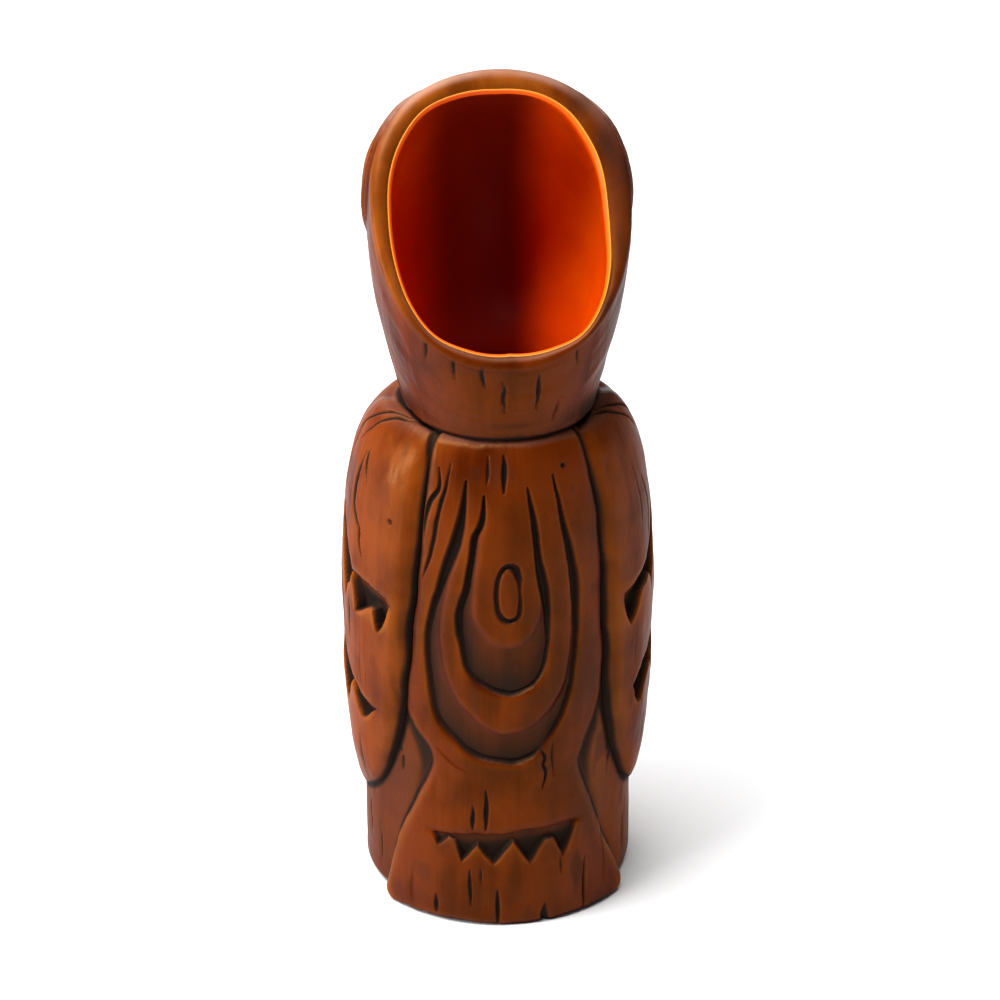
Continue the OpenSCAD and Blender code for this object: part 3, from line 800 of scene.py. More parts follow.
def new_object(name, points, faces, smooth_faces, wash_and_shade, wear_and_sheen, material, normals=None):
    """A mesh object from points in millimetres. normals are the smooth faces' shading directions."""
    mesh = bpy.data.meshes.new(name)
    if isinstance(faces, list):
        mesh.from_pydata((points * MM).tolist(), [], faces)
    else:
        mesh.vertices.add(len(points))
        mesh.vertices.foreach_set("co", (points * MM).astype(np.float32).ravel())
        mesh.loops.add(faces.size)
        mesh.loops.foreach_set("vertex_index", faces.astype(np.int32).ravel())
        mesh.polygons.add(len(faces))
        mesh.polygons.foreach_set("loop_start", np.arange(0, faces.size, faces.shape[1], dtype=np.int32))
        mesh.update(calc_edges=True)
    mesh.polygons.foreach_set("use_smooth", np.asarray(smooth_faces, bool))
    write_marks(mesh, wash_and_shade, wear_and_sheen)
    mesh.validate()
    mesh.update()
    if normals is not None:
        corner = normals[faces] * np.asarray(smooth_faces, float)[:, None, None]
        mesh.normals_split_custom_set(corner.reshape(-1, 3))
    mesh.materials.append(material)
    return into_scene(name, mesh)


def stand_in(obj, node):
    """Puts an object in the place of a CAD node, on the mug's one body."""
    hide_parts(node)
    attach(obj, "root")


def cut_piece(skin, height, levels, wash_and_shade, wear_and_sheen, node, material):
    """Cuts the part of a skin where every level is above 0, and closes it behind."""
    outer = skin.lifted(height)
    inner = skin.lifted(np.minimum(height - 0.3, -EMBED))
    fields = [outer, inner, wash_and_shade[..., None], wear_and_sheen[..., None], directions(outer), np.stack(levels, axis=-1)]
    data = np.concatenate(fields, axis=-1)
    data = data.reshape(-1, data.shape[-1])
    triangles = cells(skin, np.all([level > 0 for level in levels], axis=0))
    for k in range(len(levels), 0, -1):
        data, triangles = clip(data, triangles, data[:, -k])
    used, triangles = np.unique(triangles, return_inverse=True)
    triangles = triangles.reshape(-1, 3)
    data = data[used]
    n = len(data)
    edges = np.concatenate([triangles[:, [0, 1]], triangles[:, [1, 2]], triangles[:, [2, 0]]])
    key = edges.min(axis=1) * n + edges.max(axis=1)
    _, position, times = np.unique(key, return_index=True, return_counts=True)
    p, q = edges[position[times == 1]].T
    walls = np.concatenate([np.stack([q, p, p + n], 1), np.stack([q, p + n, q + n], 1)])
    faces = np.concatenate([triangles, triangles[:, ::-1] + n, walls])
    points = np.concatenate([data[:, :3], data[:, 3:6]])
    is_smooth = np.arange(len(faces)) < len(triangles)
    wash_and_shade, wear_and_sheen = np.tile(data[:, 6:8], (2, 1)).T
    facing = unit(np.tile(data[:, 8:11], (2, 1)))
    obj = new_object(node, points, faces, is_smooth, wash_and_shade, wear_and_sheen, material, facing)
    stand_in(obj, node)


def ring_faces(rings, columns, closed):
    """Quads between rings of points. closed joins the last ring to the first."""
    index = np.arange(rings * columns).reshape(rings, columns)
    low = index if closed else index[:-1]
    high = np.roll(index, -1, axis=0) if closed else index[1:]
    return np.stack([low, np.roll(low, -1, 1), np.roll(high, -1, 1), high], axis=-1).reshape(-1, 4)


def ring_object(name, rings, material, closed=True, wash_and_shade=None, wear_and_sheen=None):
    """A closed mesh from rings of points: a tube bent back on itself, or one with a fan over both ends."""
    count, columns = rings.shape[:2]
    points = rings.reshape(-1, 3)
    wash_and_shade = np.zeros(len(points)) if wash_and_shade is None else wash_and_shade.reshape(-1)
    wear_and_sheen = np.zeros(len(points)) if wear_and_sheen is None else wear_and_sheen.reshape(-1)
    faces = ring_faces(count, columns, closed)
    if not closed:
        points = np.concatenate([points, rings[0].mean(0)[None], rings[-1].mean(0)[None]])
        wash_and_shade = np.concatenate([wash_and_shade, [wash_and_shade[0], wash_and_shade[-1]]])
        wear_and_sheen = np.concatenate([wear_and_sheen, [wear_and_sheen[0], wear_and_sheen[-1]]])
        first, last = len(points) - 2, len(points) - 1
        top = (count - 1) * columns
        faces = faces.tolist()
        for k in range(columns):
            m = (k + 1) % columns
            faces.append([m, k, first])
            faces.append([top + k, top + m, last])
    return new_object(name, points, faces, np.ones(len(faces), bool), wash_and_shade, wear_and_sheen, material)


def revolved(profile, columns):
    """Rings of points from an outline of (radius, height) points."""
    profile = np.array(profile)
    return around(profile[:, :1], profile[:, 1:], np.radians(np.arange(columns) / columns * 360 - 180))


# ---------------------------------------------------------------- materials

THIN_GLAZE_AND_SHEEN = (0.235, 0.054, 0.004)
TOP_SHEEN = (0.38, 0.24, 0.19)
DARK_WASH_AND_SHADE = (0.0155, 0.0095, 0.0075)
PINHOLE = (0.03, 0.016, 0.01)


class Tree:
    """Adds nodes to a node tree. A value is a constant or another node's output."""

    def __init__(self, owner):
        owner.use_nodes = True
        self.nodes = owner.node_tree.nodes
        self.links = owner.node_tree.links

    def put(self, socket, value):
        if isinstance(value, bpy.types.NodeSocket):
            self.links.new(value, socket)
        elif socket.type == "RGBA":
            socket.default_value = (*value, 1)
        else:
            socket.default_value = value

    def add(self, kind, output, values=(), **settings):
        """A new node's output, after its settings and its (socket, value) pairs are set."""
        node = self.nodes.new("ShaderNode" + kind)
        for name, value in settings.items():
            setattr(node, name, value)
        for socket, value in values:
            self.put(node.inputs[socket], value)
        return node.outputs[output]

    def noise(self, scale, detail, stretch=(1, 1, 1)):
        """A noise over the object's own coordinates, drawn out along an axis where stretch is below 1."""
        place = self.add("TexCoord", "Object")
        place = self.add("Mapping", "Vector", (("Vector", place), ("Scale", stretch)))
        return self.add("TexNoise", "Fac", (("Vector", place), ("Scale", scale), ("Detail", detail)))

    def attribute(self, name):
        return self.add("Attribute", "Fac", attribute_name=name)

    def split(self, vector):
        """The X, Y and Z of a vector."""
        return tuple(self.add("SeparateXYZ", 0, (("Vector", vector),)).node.outputs)

    def times(self, a, b, limit=False):
        return self.add("Math", 0, ((0, a), (1, b)), operation="MULTIPLY", use_clamp=limit)

    def plus(self, a, b):
        return self.add("Math", 0, ((0, a), (1, b)), operation="ADD")

    def minus(self, a, b):
        return self.add("Math", 0, ((0, a), (1, b)), operation="SUBTRACT")

    def mix(self, share, a, b):
        return self.add("Mix", "Result", (("Factor", share), ("A", a), ("B", b)), data_type="RGBA")

    def ramp(self, value, low, high, to_low=0.0, to_high=1.0):
        """An even S from to_low, where value is low, to to_high, where it is high."""
        limits = (("Value", value), ("From Min", low), ("From Max", high),
                  ("To Min", to_low), ("To Max", to_high))
        return self.add("MapRange", "Result", limits, interpolation_type="SMOOTHSTEP")

    def bump(self, height, strength, distance):
        values = (("Strength", strength), ("Distance", distance), ("Height", height))
        return self.add("Bump", "Normal", values)


def new_material(name):
    """A material, its node tree and its shader's sockets."""
    material = bpy.data.materials.new(name)
    tree = Tree(material)
    return material, tree, tree.nodes["Principled BSDF"].inputs


def carved_glaze(name, bright, deep):
    """Satin brown glaze that runs thin over edges, with a near-black wash wiped into the carving, painted shade
    in hollows and creases, and a painted sheen where it faces up.
    """
    material, tree, shader = new_material(name)
    wash_and_shade = tree.attribute("wash_and_shade")
    wear_and_sheen = tree.attribute("wear_and_sheen")
    mottle = tree.noise(55, 4)
    streak = tree.noise(190, 5, (1, 1, 0.12))
    speck = tree.noise(900, 3)
    cloud = tree.plus(tree.times(mottle, 0.62), tree.times(streak, 0.38))
    colour = tree.mix(tree.ramp(cloud, 0.36, 0.62), deep, bright)
    # thin glaze over worn edges, and painted sheen where the wear mark carries it
    thin = tree.times(wear_and_sheen, tree.ramp(streak, 0.3, 0.6, 0.55, 1.0), True)
    colour = tree.mix(thin, colour, THIN_GLAZE_AND_SHEEN)
    # a pale painted sheen, standing for the overhead light's reflection, lies where the surface faces up, most
    # of all along the crown of the head
    facing = tree.split(tree.add("NewGeometry", "Normal"))
    place = tree.split(tree.add("TexCoord", "Object"))
    top_sheen = tree.times(tree.ramp(facing[2], 0.5, 0.95, 0.0, 0.3), tree.ramp(place[2], 0.185, 0.205, 0.45, 1.9))
    top_sheen = tree.times(top_sheen, tree.ramp(mottle, 0.35, 0.6, 0.5, 1.0))
    colour = tree.mix(top_sheen, colour, TOP_SHEEN)
    # the carving's near-black wash, together with painted shade in hollows and creases
    uneven_shade_and_wash = tree.plus(wash_and_shade, tree.times(tree.minus(streak, 0.5), 0.55))
    shade_and_wash_mix = tree.times(tree.ramp(uneven_shade_and_wash, 0.10, 0.78), tree.ramp(wash_and_shade, 0.02, 0.2), True)
    colour = tree.mix(shade_and_wash_mix, colour, DARK_WASH_AND_SHADE)
    colour = tree.mix(tree.times(tree.ramp(speck, 0.69, 0.74), 0.35), colour, PINHOLE)
    tree.put(shader["Base Color"], colour)
    tree.put(shader["Roughness"], tree.plus(tree.ramp(mottle, 0.3, 0.7, 0.30, 0.41), tree.times(shade_and_wash_mix, 0.14)))
    # the satin skin turns dull where it is seen edge on
    edge_on = tree.add("LayerWeight", "Facing", (("Blend", 0.5),))
    gloss = tree.times(tree.ramp(edge_on, 0.15, 0.6, 0.2, 0.02), tree.ramp(shade_and_wash_mix, 0.0, 1.0, 1.0, 0.3))
    tree.put(shader["Specular IOR Level"], gloss)
    tree.put(shader["Specular Tint"], (1.0, 0.47, 0.08))
    relief = tree.plus(tree.times(streak, 0.7), tree.times(speck, 0.3))
    tree.put(shader["Normal"], tree.bump(relief, 0.32, 0.0006))
    return material


def lining_glaze():
    """Glossy orange glaze, with painted shade in the hollow behind the beak, thinned to yellow where it runs
    out at the lip.
    """
    material, tree, shader = new_material("orange_glaze")
    thin = tree.attribute("wear_and_sheen")
    channel_shade = tree.attribute("wash_and_shade")
    cloud = tree.noise(45, 3)
    orange_peel = tree.noise(420, 2)
    colour = tree.mix(tree.ramp(cloud, 0.35, 0.65), (0.80, 0.062, 0.0003), (0.90, 0.092, 0.0005))
    # painted shade in the hollow behind the beak
    colour = tree.mix(tree.times(channel_shade, 0.95), colour, (0.11, 0.005, 0.001))
    colour = tree.mix(thin, colour, (0.72, 0.30, 0.035))
    tree.put(shader["Base Color"], colour)
    tree.put(shader["Roughness"], tree.ramp(cloud, 0.3, 0.7, 0.28, 0.36))
    tree.put(shader["Specular IOR Level"], 0.12)
    tree.put(shader["Normal"], tree.bump(orange_peel, 0.12, 0.0004))
    return material


def bare_clay():
    """Matt fired clay with fine grit and a little brown glaze wiped across it."""
    material, tree, shader = new_material("bare_clay")
    cloud = tree.noise(60, 5)
    grit = tree.noise(1400, 2)
    colour = tree.mix(tree.ramp(cloud, 0.4, 0.66), (0.60, 0.44, 0.29), (0.34, 0.19, 0.10))
    colour = tree.mix(tree.ramp(grit, 0.6, 0.72), colour, (0.24, 0.13, 0.07))
    tree.put(shader["Base Color"], colour)
    tree.put(shader["Roughness"], tree.ramp(grit, 0.3, 0.7, 0.75, 0.92))
    tree.put(shader["Normal"], tree.bump(grit, 0.5, 0.0004))
    return material


BROWN = carved_glaze("brown_glaze", (0.113, 0.0148, 0.0007), (0.052, 0.0056, 0.0004))
WING = carved_glaze("wing_glaze", (0.162, 0.0280, 0.0010), (0.078, 0.0105, 0.0006))
FACE = carved_glaze("face_glaze", (0.125, 0.0185, 0.0010), (0.060, 0.0072, 0.0006))
ORANGE = lining_glaze()
CLAY = bare_clay()


# ---------------------------------------------------------------- wash, painted shade and wear

def weather(skin, height, ink_and_shade):
    """The carved lines' wash with painted shade in hollows, and the wear on high edges, from a height map."""
    fine = skin.softened(height, 0.9)
    broad = skin.softened(height, 2.6)
    hollow = smooth(broad - height, 0.12, 1.3) + 0.6 * smooth(fine - height, 0.06, 0.5)
    proud = 0.5 * smooth(height - fine, 0.05, 0.4) + 0.6 * smooth(height - broad, 0.15, 1.1)
    # painted shade in the hollows, together with the wash in the carved lines
    wash_and_shade = np.clip(np.maximum(ink_and_shade, 0.8 * hollow), 0, 1)
    wash_and_shade = np.maximum(wash_and_shade, 0.35 * skin.softened(ink_and_shade, 0.8))
    return wash_and_shade, np.clip(proud, 0, 1) * (1 - wash_and_shade)


# ---------------------------------------------------------------- pieces of the body

def carved_body():
    """The body's skin with all its carving, and its reliefs."""
    skin = body_skin()
    trough(skin, OUTER_TROUGH_RIM, OUTER_TROUGH_RING, 1.5)
    trough(skin, INNER_TROUGH_RIM, INNER_TROUGH_RING, 1.45)
    notch(skin, TAIL_NOTCH, TAIL_NOTCH[:TAIL_BROW], TAIL_DEEP)
    for lines in (SLAB_LINES, TAIL_LINES, LEFT_CRACKS, RIGHT_CRACKS):
        carve_lines(skin, lines)
    carve_lines(skin, PITS, pointed=False)
    carve_wing(skin, -1)
    carve_wing(skin, 1)
    carve_breast(skin)
    carve_trunk(skin)
    return skin, body_heights(skin)


def seam_wash_and_shade(skin, reliefs):
    """Wash and painted shade along the foot of each relief, and fainter painted shade further out."""
    gap = np.zeros(skin.shape)
    for _, within in reliefs.values():
        reach = np.where(within > 0, 1.6, 2.3)
        gap = highest(gap, np.clip(1.15 * (1 - np.abs(within) / reach), 0, 1),
                      0.42 * (1 - smooth(np.abs(within), 0.5, 5.0)))
    uneven = 0.78 + 0.2 * noise(skin.shape, (22, 30), 17)
    return uneven * gap * smooth(skin.up, 1, 6)


def build_body():
    skin, reliefs = carved_body()
    hills = 0.16 * noise(skin.shape, (30, 34), 11) + 0.07 * noise(skin.shape, (10, 12), 12)
    grain = 0.025 * noise(skin.shape, (60, 3.2), 13) + 0.015 * noise(skin.shape, (24, 2.2), 14)
    texture = hills + grain
    top = highest(0, *(np.where(within > 0, height, 0) for height, within in reliefs.values()))
    surface = top + texture - np.minimum(skin.cut, np.maximum(top, 0.9) + 0.25)
    wash_and_shade, wear_and_sheen = weather(skin, surface, skin.ink_and_shade)
    # painted shade under the head, where the shoulders run in beneath it; no wear is drawn there
    neck = smooth(skin.up, 132.6, 135.4)
    wear_and_sheen = wear_and_sheen * (1 - neck)
    wear_and_sheen *= 1 - 0.5 * smooth(reliefs["slab"][1], 3, 7)
    smudge = noise(skin.shape, (36, 15), 15) + 0.6 * noise(skin.shape, (14, 9), 16)
    wash_and_shade = highest(wash_and_shade, 0.95 * neck, seam_wash_and_shade(skin, reliefs), 0.33 * smooth(smudge, 0.15, 1.1))

    def piece(relief, extra, node, material):
        height, within = reliefs[relief]
        carved = height + texture * smooth(within, 0, 2) - np.minimum(skin.cut, height + 0.15)
        cut_piece(skin, np.maximum(carved, 0.05), [within, *extra], wash_and_shade, wear_and_sheen, node, material)

    up = skin.up
    piece("slab", [up - WAIST_SEAM, SLAB_TOP - up], "back_slab", BROWN)
    piece("slab", [WAIST_SEAM - up], "tail", BROWN)
    for name, side in (("left", -1), ("right", 1)):
        here = side * skin.angle
        piece("wing", [here, up - SHOULDER_SEAM, WING_TOP - up], f"wing_{name}_shoulder", WING)
        piece("wing", [here, SHOULDER_SEAM - up, up - TIP_SEAM], f"wing_{name}_middle", WING)
        piece("wing", [here, TIP_SEAM - up], f"wing_{name}_tip", WING)
    piece("breast", [up - 1], "breast", BROWN)
    build_trunk(skin, wash_and_shade, wear_and_sheen, texture)


def shoulder_arc(bore, turn):
    """(radius, height) points up the inside of the shoulders to a neck of radius bore."""
    high = TRUNK_H - SHOULDER_Z
    return [(bore + SHOULDER_IN * math.cos(t), SHOULDER_Z + high * math.sin(t)) for t in turn]


def build_trunk(skin, wash_and_shade, wear_and_sheen, texture):
    """The clay wall behind the carvings. It shows at the sides of the foot and under the neck."""
    every = (slice(None, None, 2), slice(None, None, 2))
    height = np.minimum(texture, 0) - 0.02 - np.minimum(skin.cut, 0.6)
    outside = skin.lifted(height)[every]
    below = np.clip(FOOT_ROUND - outside[..., 2], 0, None)
    foot = FOOT_ROUND - np.sqrt(np.clip(FOOT_ROUND ** 2 - below ** 2, 0, None))
    radial = np.hypot(outside[..., 0], outside[..., 1])
    outside[..., :2] *= ((radial - foot) / radial)[..., None]
    angle = np.radians(skin.angle[0, ::2])
    inner = [(PROFILE_R[-1] - 0.4, TRUNK_H - 0.1), (BORE_R, TRUNK_H - 0.6)]
    inner += shoulder_arc(BORE_R, np.radians(np.linspace(85, 0, 18)))
    inner += [(CUP_R, z) for z in (70, 50, 30, 12, FLOOR_LOW, 0.6)]
    inner += [(CUP_R + 0.3, 0.15), (CUP_R + 1.0, 0)]
    inner = np.array(inner)
    rings = np.concatenate([outside, around(inner[:, :1], inner[:, 1:], angle)])
    zeros = np.zeros((len(inner), len(angle)))
    # the flanks are yellower than the carvings, with a painted reflection lightening the right one and painted
    # shade darkening the left one
    right = smooth(np.sin(angle), -0.3, 0.3)
    flank_wash_and_shade = np.maximum(wash_and_shade[every], 0.345 * (1 - right))
    flank_wear_and_sheen = np.clip(wear_and_sheen[every] + 0.19 + 0.21 * right, 0, 1)
    obj = ring_object("trunk", rings, BROWN, True, np.concatenate([flank_wash_and_shade, zeros]),
                      np.concatenate([flank_wear_and_sheen, zeros]))
    stand_in(obj, "trunk")


def build_floor():
    edge = 0.6
    axis_r = 0.2
    columns = 160
    profile = [(axis_r, FLOOR_LOW), (CUP_R - edge, FLOOR_LOW), (CUP_R, FLOOR_LOW + 0.1),
               (CUP_R, FLOOR_TOP - 0.1), (CUP_R - edge, FLOOR_TOP), (axis_r, FLOOR_TOP)]
    fine = []
    for (r0, z0), (r1, z1) in zip(profile[:-1], profile[1:]):
        steps = max(1, int(abs(r1 - r0) / 1.5))
        fine += [(r0 + (r1 - r0) * k / steps, z0 + (z1 - z0) * k / steps) for k in range(steps)]
    fine.append(profile[-1])
    rings = revolved(fine, columns)
    # a shallow ripple from wiping the clay
    a = np.radians(np.arange(columns) / columns * 360)
    under = rings[..., 2] < FLOOR_LOW + 0.05
    rings[..., 2] += np.where(under, 0.06 * np.sin(3 * a + rings[..., 0] / 5), 0)
    stand_in(ring_object("foot_floor", rings, CLAY, False), "foot_floor")


def cup_profile(inset):
    """The hollow of the cup from the floor's middle to the neck, moved in by inset."""
    wall_r = CUP_R - inset
    corner = 6.0
    floor = FLOOR_TOP + inset
    line = [(0.2, floor + 0.1), (8, floor), (16, floor)]
    line += [(wall_r - corner + corner * math.sin(t), floor + corner - corner * math.cos(t))
             for t in np.radians(np.linspace(0, 90, 10))]
    line += [(wall_r, z) for z in (24, 40, 60, 80)]
    return line + shoulder_arc(BORE_R - inset, np.radians(np.linspace(0, 90, 24)))


def build_cup_lining():
    rings = revolved(cup_profile(0.02) + cup_profile(GLAZE_T)[::-1], 200)
    stand_in(ring_object("lining_body", rings, ORANGE, False), "lining_body")


# ---------------------------------------------------------------- pieces of the head

def neck_blend(points, share):
    """Draws the inside of the head in to the round bore of the trunk at the neck."""
    flat = points[..., :2]
    radius = np.maximum(np.linalg.norm(flat, axis=-1, keepdims=True), 1e-6)
    pull = ((1 - smooth(share, 0.0, 0.22)) * 0.85)[..., None]
    round_off = flat * (1 + pull * (BORE_R / radius - 1))
    return np.concatenate([round_off, points[..., 2:]], axis=-1)


def throat(angle, share):
    """How far the hollow behind the beak reaches forward."""
    from_face = (angle % 360) - 180
    return 2.7 * dome(from_face, 34, 1.5) * smooth(share, 0.02, 0.25) * (1 - smooth(share, 0.6, 0.9))


def inner_skin(angles, shares, inset):
    angle, share = np.meshgrid(angles, shares)
    points = head_place(angle, share, inset + wall_more(angle) * smooth(share, 0.55, 1.0))
    points = neck_blend(points, share)
    points[..., 1] += throat(angle, share)
    return points


def build_head():
    skin = head_skin()
    carve_head(skin)
    eyes = {side: face_heights(skin, side) for side in (-1, 1)}
    texture = 0.13 * noise(skin.shape, (26, 40), 21) + 0.08 * noise(skin.shape, (12, 14), 22)
    texture += 0.05 * noise(skin.shape, (70, 3.0), 23)
    fade = smooth(skin.up, 0.0, 0.05) * (1 - smooth(skin.up, 0.97, 1.0))
    shell = texture * fade - skin.cut
    seam = np.linalg.norm(skin.base - skin.base[:1], axis=2)
    shell -= 1.3 * (1 - smooth(seam, 0.0, 2.4))
    top, ink_and_shade = shell, skin.ink_and_shade
    for eye, brow, r, line in eyes.values():
        top = highest(top, shell + np.maximum(eye, 0), shell + np.maximum(brow, 0))
        ink_and_shade = highest(ink_and_shade, near(r - (EYE_R - 0.2), 1.1) * (r < 15), 0.9 * near(r - 6.6, 0.9),
                      np.clip(line / 1.1, 0, 1) * 0.9, 0.9 * near(r - 1.2, 1.6))
    wash_and_shade, wear_and_sheen = weather(skin, top, ink_and_shade)
    # painted shade along the foot of the head, darker towards its right side, and darkest at the neck seam
    neck_shade = 0.38 + 0.16 * noise(skin.shape, (18, 22), 24) + 0.2 * smooth(skin.angle, 15, 60)
    # painted shade on the upper right side of the head
    right_shade = smooth(skin.angle, 25, 70) * (1 - smooth(skin.angle, 95, 115)) * smooth(skin.up, 0.4, 0.8)
    wash_and_shade = highest(wash_and_shade, 0.95 * (1 - smooth(seam, 0.6, 3.2)), neck_shade * (1 - smooth(seam, 3, 15)),
                    beak_shadow(skin), 0.3 * right_shade)
    rim = smooth(skin.up, 0.965, 1.0) * smooth(np.abs(skin.angle), 25, 75)
    wear_and_sheen = np.clip(wear_and_sheen + 0.5 * rim, 0, 1) * (1 - smooth(wash_and_shade, 0.5, 0.9))
    build_shell(skin, shell, wash_and_shade, wear_and_sheen)
    for name, side in (("left", -1), ("right", 1)):
        eye, brow, r, _ = eyes[side]
        for node, height, levels in (("eye", eye, [EYE_R - 0.5 - r]),
                                     ("brow", brow, [brow - 0.02, r - EYE_R - 0.1])):
            cut_piece(skin, shell + height, levels, wash_and_shade, wear_and_sheen, f"{node}_{name}", FACE)


# How much thicker the lip's wall is on the left and on the right: (degrees from the drinking side, mm).
WALL_LEFT = ((0, 0.2), (20, -0.4), (36, -1.5), (52, -1.2), (66, -0.5), (80, 0.1), (95, 0.6), (112, 0.8),
             (126, 0.7), (142, 0.4), (160, 1.0), (180, 1.5))
WALL_RIGHT = ((0, 0.3), (20, -0.8), (36, -2.2), (52, -1.5), (66, 0.0), (78, 1.6), (92, 2.6), (112, 2.8),
              (126, 2.6), (142, 1.7), (160, 1.2), (180, 1.5))


def wall_more(angle):
    """The lip's extra thickness at each angle. It makes the drinking opening a little squared."""
    turn = (np.asarray(angle, float) + 180) % 360 - 180
    left = along(-turn, WALL_LEFT)
    right = along(turn, WALL_RIGHT)
    return np.where(turn < 0, left, right)


def lip_ring(angles, turn, over=0.0):
    """A ring on the lip: turn runs from 0 at its outer edge to pi at its inner edge. over lifts it off."""
    away = np.array([-LIP_ROUND * math.cos(turn), 0.5 * HEAD_WALL * math.sin(turn)])
    away = away / np.linalg.norm(away) * over
    across = (HEAD_WALL + wall_more(angles)) * (1 - math.cos(turn)) / 2
    return head_place(angles, np.ones(len(angles)), across + away[0],
                      LIP_ROUND * abs(math.sin(turn)) ** 0.9 + away[1])


def build_shell(skin, shell, wash_and_shade, wear_and_sheen):
    """The head's wall: the carved outside, the lip, and a plain inside."""
    angles = skin.angle[0]
    lip_steps = 12
    lip = np.array([lip_ring(angles, math.pi * k / lip_steps) for k in range(1, lip_steps)])
    lip[..., 2] += 0.12 * noise(lip.shape[:2], (30, 26), 31)
    inside_rings = inner_skin(angles, np.linspace(1, 0, 24), HEAD_WALL)
    rings = np.concatenate([skin.lifted(shell), lip, inside_rings])
    # cracks run on over the lip's outer half. Painted shade darkens its right side, and a painted highlight
    # lightens its left side, over the wear along it
    running = np.clip(1 - np.arange(1, lip_steps) / 6, 0, 1)[:, None] * wash_and_shade[-1]
    sideways = np.sin(np.radians(angles))
    lip_wash_and_shade = np.clip(0.22 * noise(lip.shape[:2], (30, 16), 32) + 0.38 * smooth(sideways, 0.3, 0.9), 0, 1)
    lip_wash_and_shade = np.maximum(lip_wash_and_shade, running)
    lip_wear_and_highlight = 0.4 + 0.3 * noise(lip.shape[:2], (6, 20), 33) - 0.4 * smooth(sideways, 0.1, 0.8)
    lip_wear_and_highlight += 0.25 * smooth(-sideways, 0.3, 0.9)
    lip_wear_and_highlight = lip_wear_and_highlight * smooth(np.abs(angles), 25, 75) + 0.3 * smooth(np.abs(angles), 115, 150)
    zeros = np.zeros((len(inside_rings), len(angles)))
    obj = ring_object("head_shell", rings, BROWN, True, np.concatenate([wash_and_shade, lip_wash_and_shade, zeros]),
                      np.concatenate([wear_and_sheen, np.clip(lip_wear_and_highlight, 0, 1), zeros]))
    stand_in(obj, "head_shell")


# The lining's edge on the lip: degrees round the lip, and how far it stands off it.
LINING_EDGE = ((144, 0.04), (145, 0.14), (148, 0.22), (153, 0.28), (159, 0.34), (165, 0.4), (170, 0.45),
               (175, 0.49))


def build_head_lining():
    columns = 240
    angles = np.arange(columns) / columns * 360 - 180
    shares = 1 - np.linspace(1, 0, 70) ** 1.7
    wall_side = inner_skin(angles, shares, HEAD_WALL + 0.02)
    # the glaze stands thickest in a roll just inside the lip
    roll = 0.25 * smooth(shares, 1.0, 0.955) * (1 - smooth(shares, 0.93, 0.80))
    hollow = np.concatenate([inner_skin(angles, [share], HEAD_WALL + GLAZE_T + more)
                             for share, more in zip(shares[::-1], roll[::-1])])
    under = [lip_ring(angles, math.radians(t), -0.2) for t in (174, 166, 158, 150)]
    over = [lip_ring(angles, math.radians(t), height) for t, height in LINING_EDGE]
    rings = np.concatenate([wall_side, np.array(under), np.array(over), hollow])
    # it thins to a yellow line where it ends
    thin = np.zeros(rings.shape[:2])
    start = len(wall_side) + len(under)
    inner = start + len(over)
    thin[start - 1:start + 4] = np.array([1.0, 1.0, 0.9, 0.55, 0.2])[:, None]
    thin[inner - 3:inner + 5] = np.array([0.18, 0.16, 0.14, 0.12, 0.1, 0.07, 0.04, 0.02])[:, None]
    # painted shade darkens the hollow behind the beak
    across = rings[..., 0]
    channel_shade = smooth(rings[..., 1], -8, 8) * (1 - smooth(across, 5, 18)) * (1 - 0.8 * smooth(-across, 8, 28))
    channel_shade[:inner] = 0
    obj = ring_object("lining_head", rings, ORANGE, True, channel_shade, thin)
    stand_in(obj, "lining_head")


# ---------------------------------------------------------------- beak and feet

BILL_SEAT = 0.45         # how deep the beak is let into the head
# The bends of the beak's halves: (forward, height) of the root, of the point that draws it out, and of the tip.
UPPER_BILL = ((25.0, 175.0), (56.0, 184.0), (49.0, 149.0))
LOWER_BILL = ((22.0, 160.0), (41.0, 162.0), (45.0, 152.0))


def face_front(x, z):
    """How far forward the head's face reaches, a little under its surface, at each (x, z)."""
    angle, share = np.meshgrid(np.linspace(110, 250, 71), np.linspace(0.1, 0.9, 60))
    face = head_place(angle, share, BILL_SEAT).reshape(-1, 3)
    result = np.zeros(x.shape)
    for k in range(len(x)):
        gap = (x[k][:, None] - face[:, 0]) ** 2 + (z[k][:, None] - face[:, 2]) ** 2
        nearest = np.argsort(gap, axis=1)[:, :4]
        weight = 1 / (np.take_along_axis(gap, nearest, axis=1) + 0.02)
        result[k] = (face[nearest, 1] * weight).sum(axis=1) / weight.sum(axis=1)
    return result


def bill_taper(t, tip):
    return tip + (1 - tip) * (1 - t) ** 0.8


def bill_rings(path, half_w, half_h, tip, columns, rows, start, outline):
    """Rings round a bend in the plane of symmetry. outline gives each ring's shape from its round angle."""
    p0, p1, p2 = (np.array(p) for p in path)
    rings = []
    turn = np.arange(columns) / columns * 2 * np.pi
    side, up = outline(turn)
    for t in np.linspace(start, 1, rows):
        at = (1 - t) ** 2 * p0 + 2 * t * (1 - t) * p1 + t * t * p2
        ahead = 2 * (1 - t) * (p1 - p0) + 2 * t * (p2 - p1)
        ahead = ahead / np.linalg.norm(ahead)
        wide = side * half_w * bill_taper(t, tip)
        high = up * half_h * bill_taper(t, tip)
        rings.append(np.stack([wide, at[0] - ahead[1] * high, at[1] + ahead[0] * high], axis=-1))
    return np.array(rings), turn


def upper_outline(turn):
    """Broad below and drawn to a ridge above."""
    side, up = np.cos(turn), np.sin(turn)
    ridge = np.clip(up, 0, 1) ** 2
    side = side * (1 - 0.30 * ridge) * (1 + 0.05 * np.clip(-up, 0, 1))
    return side, up * (1 + 0.05 * ridge)


def lower_outline(turn):
    return np.cos(turn), np.sin(turn) * (1 - 0.15 * np.clip(np.sin(turn), 0, 1))


